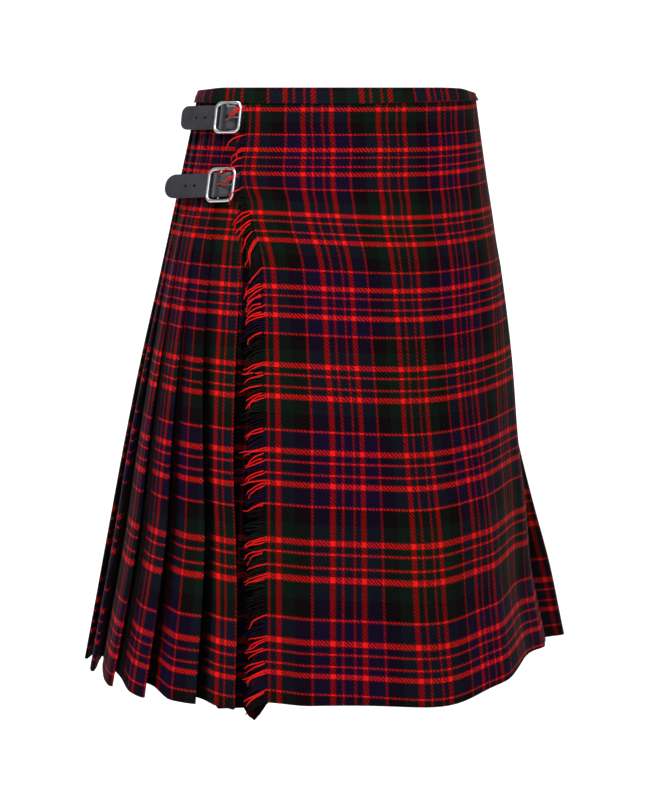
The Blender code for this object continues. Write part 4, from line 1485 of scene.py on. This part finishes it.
def tartan_group(sett):
    """Twill of two sets of yarns: colour, height and roughness."""
    tree, nodes, start, end = new_group(
        "woven_tartan",
        (("Threads", "Vector", None), ("Yarns", "Vector", None), ("Place", "Vector", None),
         ("Shade", "Float", 1.0)),
        (("Color", "Color"), ("Height", "Float"), ("Roughness", "Float")),
    )
    stripes = nodes.split(start["Threads"])
    yarns = nodes.split(start["Yarns"])
    uneven = nodes.noise(start["Place"], 210.0, 1.0)
    across = nodes.plus(yarns["X"], nodes.times(uneven, 2.6))
    down = yarns["Y"]
    whole_across = nodes.work("FLOOR", across)
    whole_down = nodes.work("FLOOR", down)
    step = nodes.work("FLOORED_MODULO", nodes.plus(nodes.plus(whole_across, whole_down), 0.25), 4.0)
    warp_up = nodes.work("LESS_THAN", step, 1.9)
    colours = []
    heights = []
    reds = []
    for stripe, along, whole, other, seed in (
        (stripes["X"], across, whole_across, down, 0.37),
        (stripes["Y"], down, whole_down, across, 900.61),
    ):
        yarn, before, after = (nodes.group(sett, Thread=nodes.plus(stripe, off)) for off in (0.0, -1.2, 1.2))
        strayed = nodes.mix(0.5, before["Color"], after["Color"])
        grain = nodes.add("ShaderNodeTexWhiteNoise", (("noise_dimensions", "1D"),), W=nodes.plus(whole, seed))
        varied = nodes.line(grain.outputs["Value"], 0.22, 0.88)
        slub = nodes.add("ShaderNodeCombineXYZ", X=nodes.times(other, 0.21), Y=nodes.times(whole, 7.3))
        slubs = nodes.line(nodes.noise(slub.outputs[0], 1.0, 1.0), 0.5, 0.75)
        furry = nodes.mix(0.16, yarn["Color"], strayed)
        colours.append(nodes.toned(furry, nodes.times(varied, slubs)))
        reds.append(yarn["Red"])
        heights.append(nodes.work("SINE", nodes.times(nodes.work("FRACT", along), math.pi)))
    woven = nodes.mix(warp_up, colours[1], colours[0])
    lone_warp = nodes.times(reds[0], nodes.work("SUBTRACT", 1.0, reds[1]))
    lone_weft = nodes.times(reds[1], nodes.work("SUBTRACT", 1.0, reds[0]))
    napped = nodes.line(lone_warp, 0.16, 0.18)
    colour = nodes.mix(napped, woven, nodes.mix(0.5, colours[0], colours[1]))
    dimmed = nodes.plus(nodes.times(lone_warp, 0.62), nodes.times(lone_weft, 0.30))
    lone = nodes.work("SUBTRACT", 1.0, dimmed)
    height = nodes.add("ShaderNodeMix", (("data_type", "FLOAT"),))
    for place, value in ((0, warp_up), (2, heights[1]), (3, heights[0])):
        nodes.feed(height.inputs[place], value)
    rounded = height.outputs[0]
    # Painted shade in the hollows between the yarns, where their rounded height falls away.
    hollow = nodes.line(nodes.work("POWER", rounded, 0.7), 0.45, 0.62)
    broad = nodes.line(nodes.noise(start["Place"], 14.0, 3.0, 0.6), 0.30, 0.85)
    # Shade brings in the painted fold shadows and the lit copies of the cloth.
    total = nodes.times(nodes.times(hollow, broad), nodes.times(start["Shade"], lone))
    nap = nodes.noise(start["Place"], 900.0, 2.0)
    nodes.feed(end["Color"], nodes.toned(colour, total))
    nodes.feed(end["Height"], nodes.plus(nodes.times(rounded, 0.7), nodes.times(nap, 0.5)))
    nodes.feed(end["Roughness"], nodes.line(nap, 0.16, 0.78))
    return tree


def leather_group():
    """Grained, slightly rubbed leather: colour, height and roughness."""
    tree, nodes, start, end = new_group(
        "strap_leather",
        (("Place", "Vector", None), ("Color", "Color", (0.03, 0.03, 0.033, 1.0)), ("Shade", "Float", 1.0)),
        (("Color", "Color"), ("Height", "Float"), ("Roughness", "Float")),
    )
    cells = nodes.add("ShaderNodeTexVoronoi", (("feature", "DISTANCE_TO_EDGE"),),
                      Vector=start["Place"], Scale=900.0)
    pores = nodes.work("MINIMUM", nodes.times(cells.outputs["Distance"], 4.0), 1.0)
    fine = nodes.noise(start["Place"], 420.0, 4.0, 0.6)
    rub = nodes.noise(start["Place"], 45.0, 3.0, 0.55)
    shade = nodes.times(nodes.line(rub, 1.1, nodes.line(fine, 0.5, 0.16)), start["Shade"])
    nodes.feed(end["Color"], nodes.toned(start["Color"], shade))
    nodes.feed(end["Height"], nodes.plus(nodes.times(pores, 0.5), nodes.times(fine, 0.6)))
    nodes.feed(end["Roughness"], nodes.line(rub, 0.24, 0.22))
    return tree


def chrome_group():
    """Plated wire with handling marks: colour, roughness and height."""
    tree, nodes, start, end = new_group(
        "handled_chrome",
        (("Place", "Vector", None), ("Shade", "Float", 1.0)),
        (("Color", "Color"), ("Roughness", "Float"), ("Height", "Float")),
    )
    smudge = nodes.noise(start["Place"], 170.0, 4.0, 0.62)
    scratch = nodes.noise(start["Place"], 1300.0, 2.0)
    plated = nodes.mix(smudge, (0.86, 0.87, 0.89, 1.0), (0.96, 0.96, 0.96, 1.0))
    nodes.feed(end["Color"], nodes.toned(plated, start["Shade"]))
    nodes.feed(end["Roughness"], nodes.line(smudge, 0.26, 0.17))
    nodes.feed(end["Height"], nodes.plus(scratch, nodes.times(smudge, 1.5)))
    return tree


def wool_material(name, tartan, shade):
    made, nodes = new_material(name)
    cloth = nodes.group(tartan, Threads=nodes.map("threads"), Yarns=nodes.map("yarns"), Place=nodes.place(),
                        Shade=nodes.times(nodes.light(), shade))
    nodes.surface(cloth["Color"], cloth["Roughness"], (cloth["Height"], 0.00022, 0.6),
                  Specular_IOR_Level=0.02, Sheen_Weight=0.02, Sheen_Roughness=0.35)
    return made


def yarn_material(name, sett):
    made, nodes = new_material(name)
    yarn = nodes.group(sett, Thread=nodes.split(nodes.map("threads"))["Y"])
    place = nodes.place()
    twist = nodes.noise(place, 700.0, 3.0)
    uneven = nodes.noise(place, 120.0, 2.0)
    shade = nodes.line(twist, 0.9, nodes.line(uneven, 0.6, 0.05))
    nodes.surface(nodes.toned(yarn["Color"], shade), nodes.line(twist, 0.2, 0.72), (twist, 0.0003, 0.7),
                  Specular_IOR_Level=0.05, Sheen_Weight=0.03)
    return made


def thread_material():
    made, nodes = new_material("sewing_thread")
    twist = nodes.noise(nodes.place(), 2600.0)
    colour = nodes.mix(twist, (0.003, 0.006, 0.004, 1.0), (0.012, 0.026, 0.018, 1.0))
    nodes.surface(colour, nodes.line(twist, 0.2, 0.5), Specular_IOR_Level=0.2)
    return made


def leather_material(name, grain, colour):
    made, nodes = new_material(name)
    hide = nodes.group(grain, Place=nodes.place(), Color=colour, Shade=nodes.light())
    nodes.surface(hide["Color"], hide["Roughness"], (hide["Height"], 0.00012, 0.5), Specular_IOR_Level=0.5)
    return made


def chrome_material(name, plate, shade):
    made, nodes = new_material(name)
    metal = nodes.group(plate, Place=nodes.place(), Shade=shade)
    nodes.surface(metal["Color"], metal["Roughness"], (metal["Height"], 0.00004, 0.25), Metallic=1.0)
    return made


def studio_material():
    made, nodes = new_material("studio_white")
    mottle = nodes.noise(nodes.place(), 3.0)
    colour = nodes.mix(mottle, (0.90, 0.90, 0.90, 1.0), (0.92, 0.92, 0.92, 1.0))
    nodes.surface(colour, 0.9, Specular_IOR_Level=0.1)
    return made


def finished(piece, node, slot, material_for, *choices):
    """Give a piece a material named after its slot, attach it to the root and hide the CAD node it stands
    for.
    """
    piece.data.materials.clear()
    piece.data.materials.append(material_for(slot, *choices))
    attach(piece, "root")
    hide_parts(node)


# ---------------------------------------------------------------- studio

def make_floor():
    """Pale floor that curves up far behind."""
    profile = [(FLOOR_NEAR, FLOOR_LEVEL), (FLOOR_FAR, FLOOR_LEVEL)]
    for turn in range(10, 91, 10):
        swing = math.radians(turn)
        ahead, up = FLOOR_CURVE * math.sin(swing), FLOOR_CURVE * (1 - math.cos(swing))
        profile.append((FLOOR_FAR + ahead, FLOOR_LEVEL + up))
    profile.append((FLOOR_FAR + FLOOR_CURVE, 4.0))
    shape = bmesh.new()
    bmesh.ops.create_grid(shape, x_segments=1, y_segments=len(profile) - 1, size=0.5)
    for vert in shape.verts:
        row = round((vert.co.y + 0.5) * (len(profile) - 1))
        vert.co = Vector((FLOOR_WIDTH * vert.co.x, *profile[row]))
    bmesh.ops.recalc_face_normals(shape, faces=shape.faces)
    floor = shaded(linked("studio_floor", shape), 60.0)
    floor.data.materials.append(studio_material())


def make_studio():
    """Floor, soft lamps and the camera."""
    make_floor()
    scene = bpy.context.scene
    world = bpy.data.worlds.new("studio")
    world.use_nodes = True
    glow = world.node_tree.nodes["Background"].inputs
    glow["Color"].default_value = (1.0, 1.0, 1.0, 1.0)
    glow["Strength"].default_value = ROOM_LIGHT
    scene.world = world
    for name, place, aim, size, power, colour in LAMPS:
        lamp = bpy.data.lights.new(name, "AREA")
        lamp.shape = "DISK"
        lamp.size = size
        lamp.energy = power
        lamp.color = colour
        holder = bpy.data.objects.new(name + "_lamp", lamp)
        holder.location = place
        holder.rotation_euler = (Vector(aim) - Vector(place)).to_track_quat("-Z", "Y").to_euler()
        scene.collection.objects.link(holder)

    lens = bpy.data.cameras.new("camera")
    lens.lens = CAMERA_LENS
    lens.sensor_width = 36.0
    lens.clip_end = 50.0
    holder = bpy.data.objects.new("camera", lens)
    holder.location = CAMERA_PLACE
    holder.rotation_euler = (math.radians(CAMERA_TILT), 0.0, 0.0)
    scene.collection.objects.link(holder)
    scene.camera = holder
    scene.view_settings.view_transform = "Standard"
    scene.view_settings.look = "None"


# ---------------------------------------------------------------- the kilt

def make_wrap(sett):
    """The cloth with its waistband, stitches and fringe."""
    tartan = tartan_group(sett)
    cloth = make_cloth()
    band, band_length = make_band()
    # The band takes the tartan brightened 1.3 times: painted light, a lit copy of the cloth.
    finished(band, "waistband", "tartan_wool_band", wool_material, tartan, 1.3)
    stitches = make_stitches()
    stitches.data.materials.append(thread_material())
    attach(stitches, "root")
    fringe = make_fringe()
    finished(fringe, "fringe", "loose_yarn", yarn_material, sett)
    # The pleats take the tartan brightened 1.12 times: painted light, lit copies of the cloth.
    for node, slot, shade, held, extra in (
        ("pleats_left", "tartan_wool", 1.12, "folded", []),
        ("pleats_right", "tartan_wool_right", 1.12, "folded", []),
        ("over_apron", "tartan_wool_over", 1.0, "hung", [fringe]),
        ("under_apron", "tartan_wool_under", 1.0, "hung", []),
    ):
        piece, width, area = cloth[node]
        finished(piece, node, slot, wool_material, tartan, shade)
        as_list(extra)


def make_straps():
    """The two straps with their buckles."""
    grain = leather_group()
    plate = chrome_group()
    for row in STRAP_ROWS:
        strap = named(STRAP_COLUMNS, row)
        spot = strap_frame(strap)
        name = strap["name"]
        for piece, node, slot, *choices in (
            (make_strap(strap, spot), "_strap", "_leather", leather_material, grain, STRAP_COLOUR),
            (make_tab(strap, spot), "_tab", "_tab_leather", leather_material, grain, TAB_COLOUR),
            (make_buckle(strap, spot), "_buckle", "_chrome", chrome_material, plate, 1.0),
            # The prong takes the chrome darkened to 0.22: painted shade, a shaded copy of the frame's
            # plating.
            (make_prong(strap, spot), "_prong", "_prong_chrome", chrome_material, plate, 0.22),
        ):
            finished(piece, name + node, name + slot, *choices)


def main():
    make_wrap(sett_group())
    make_straps()
    make_studio()


main()
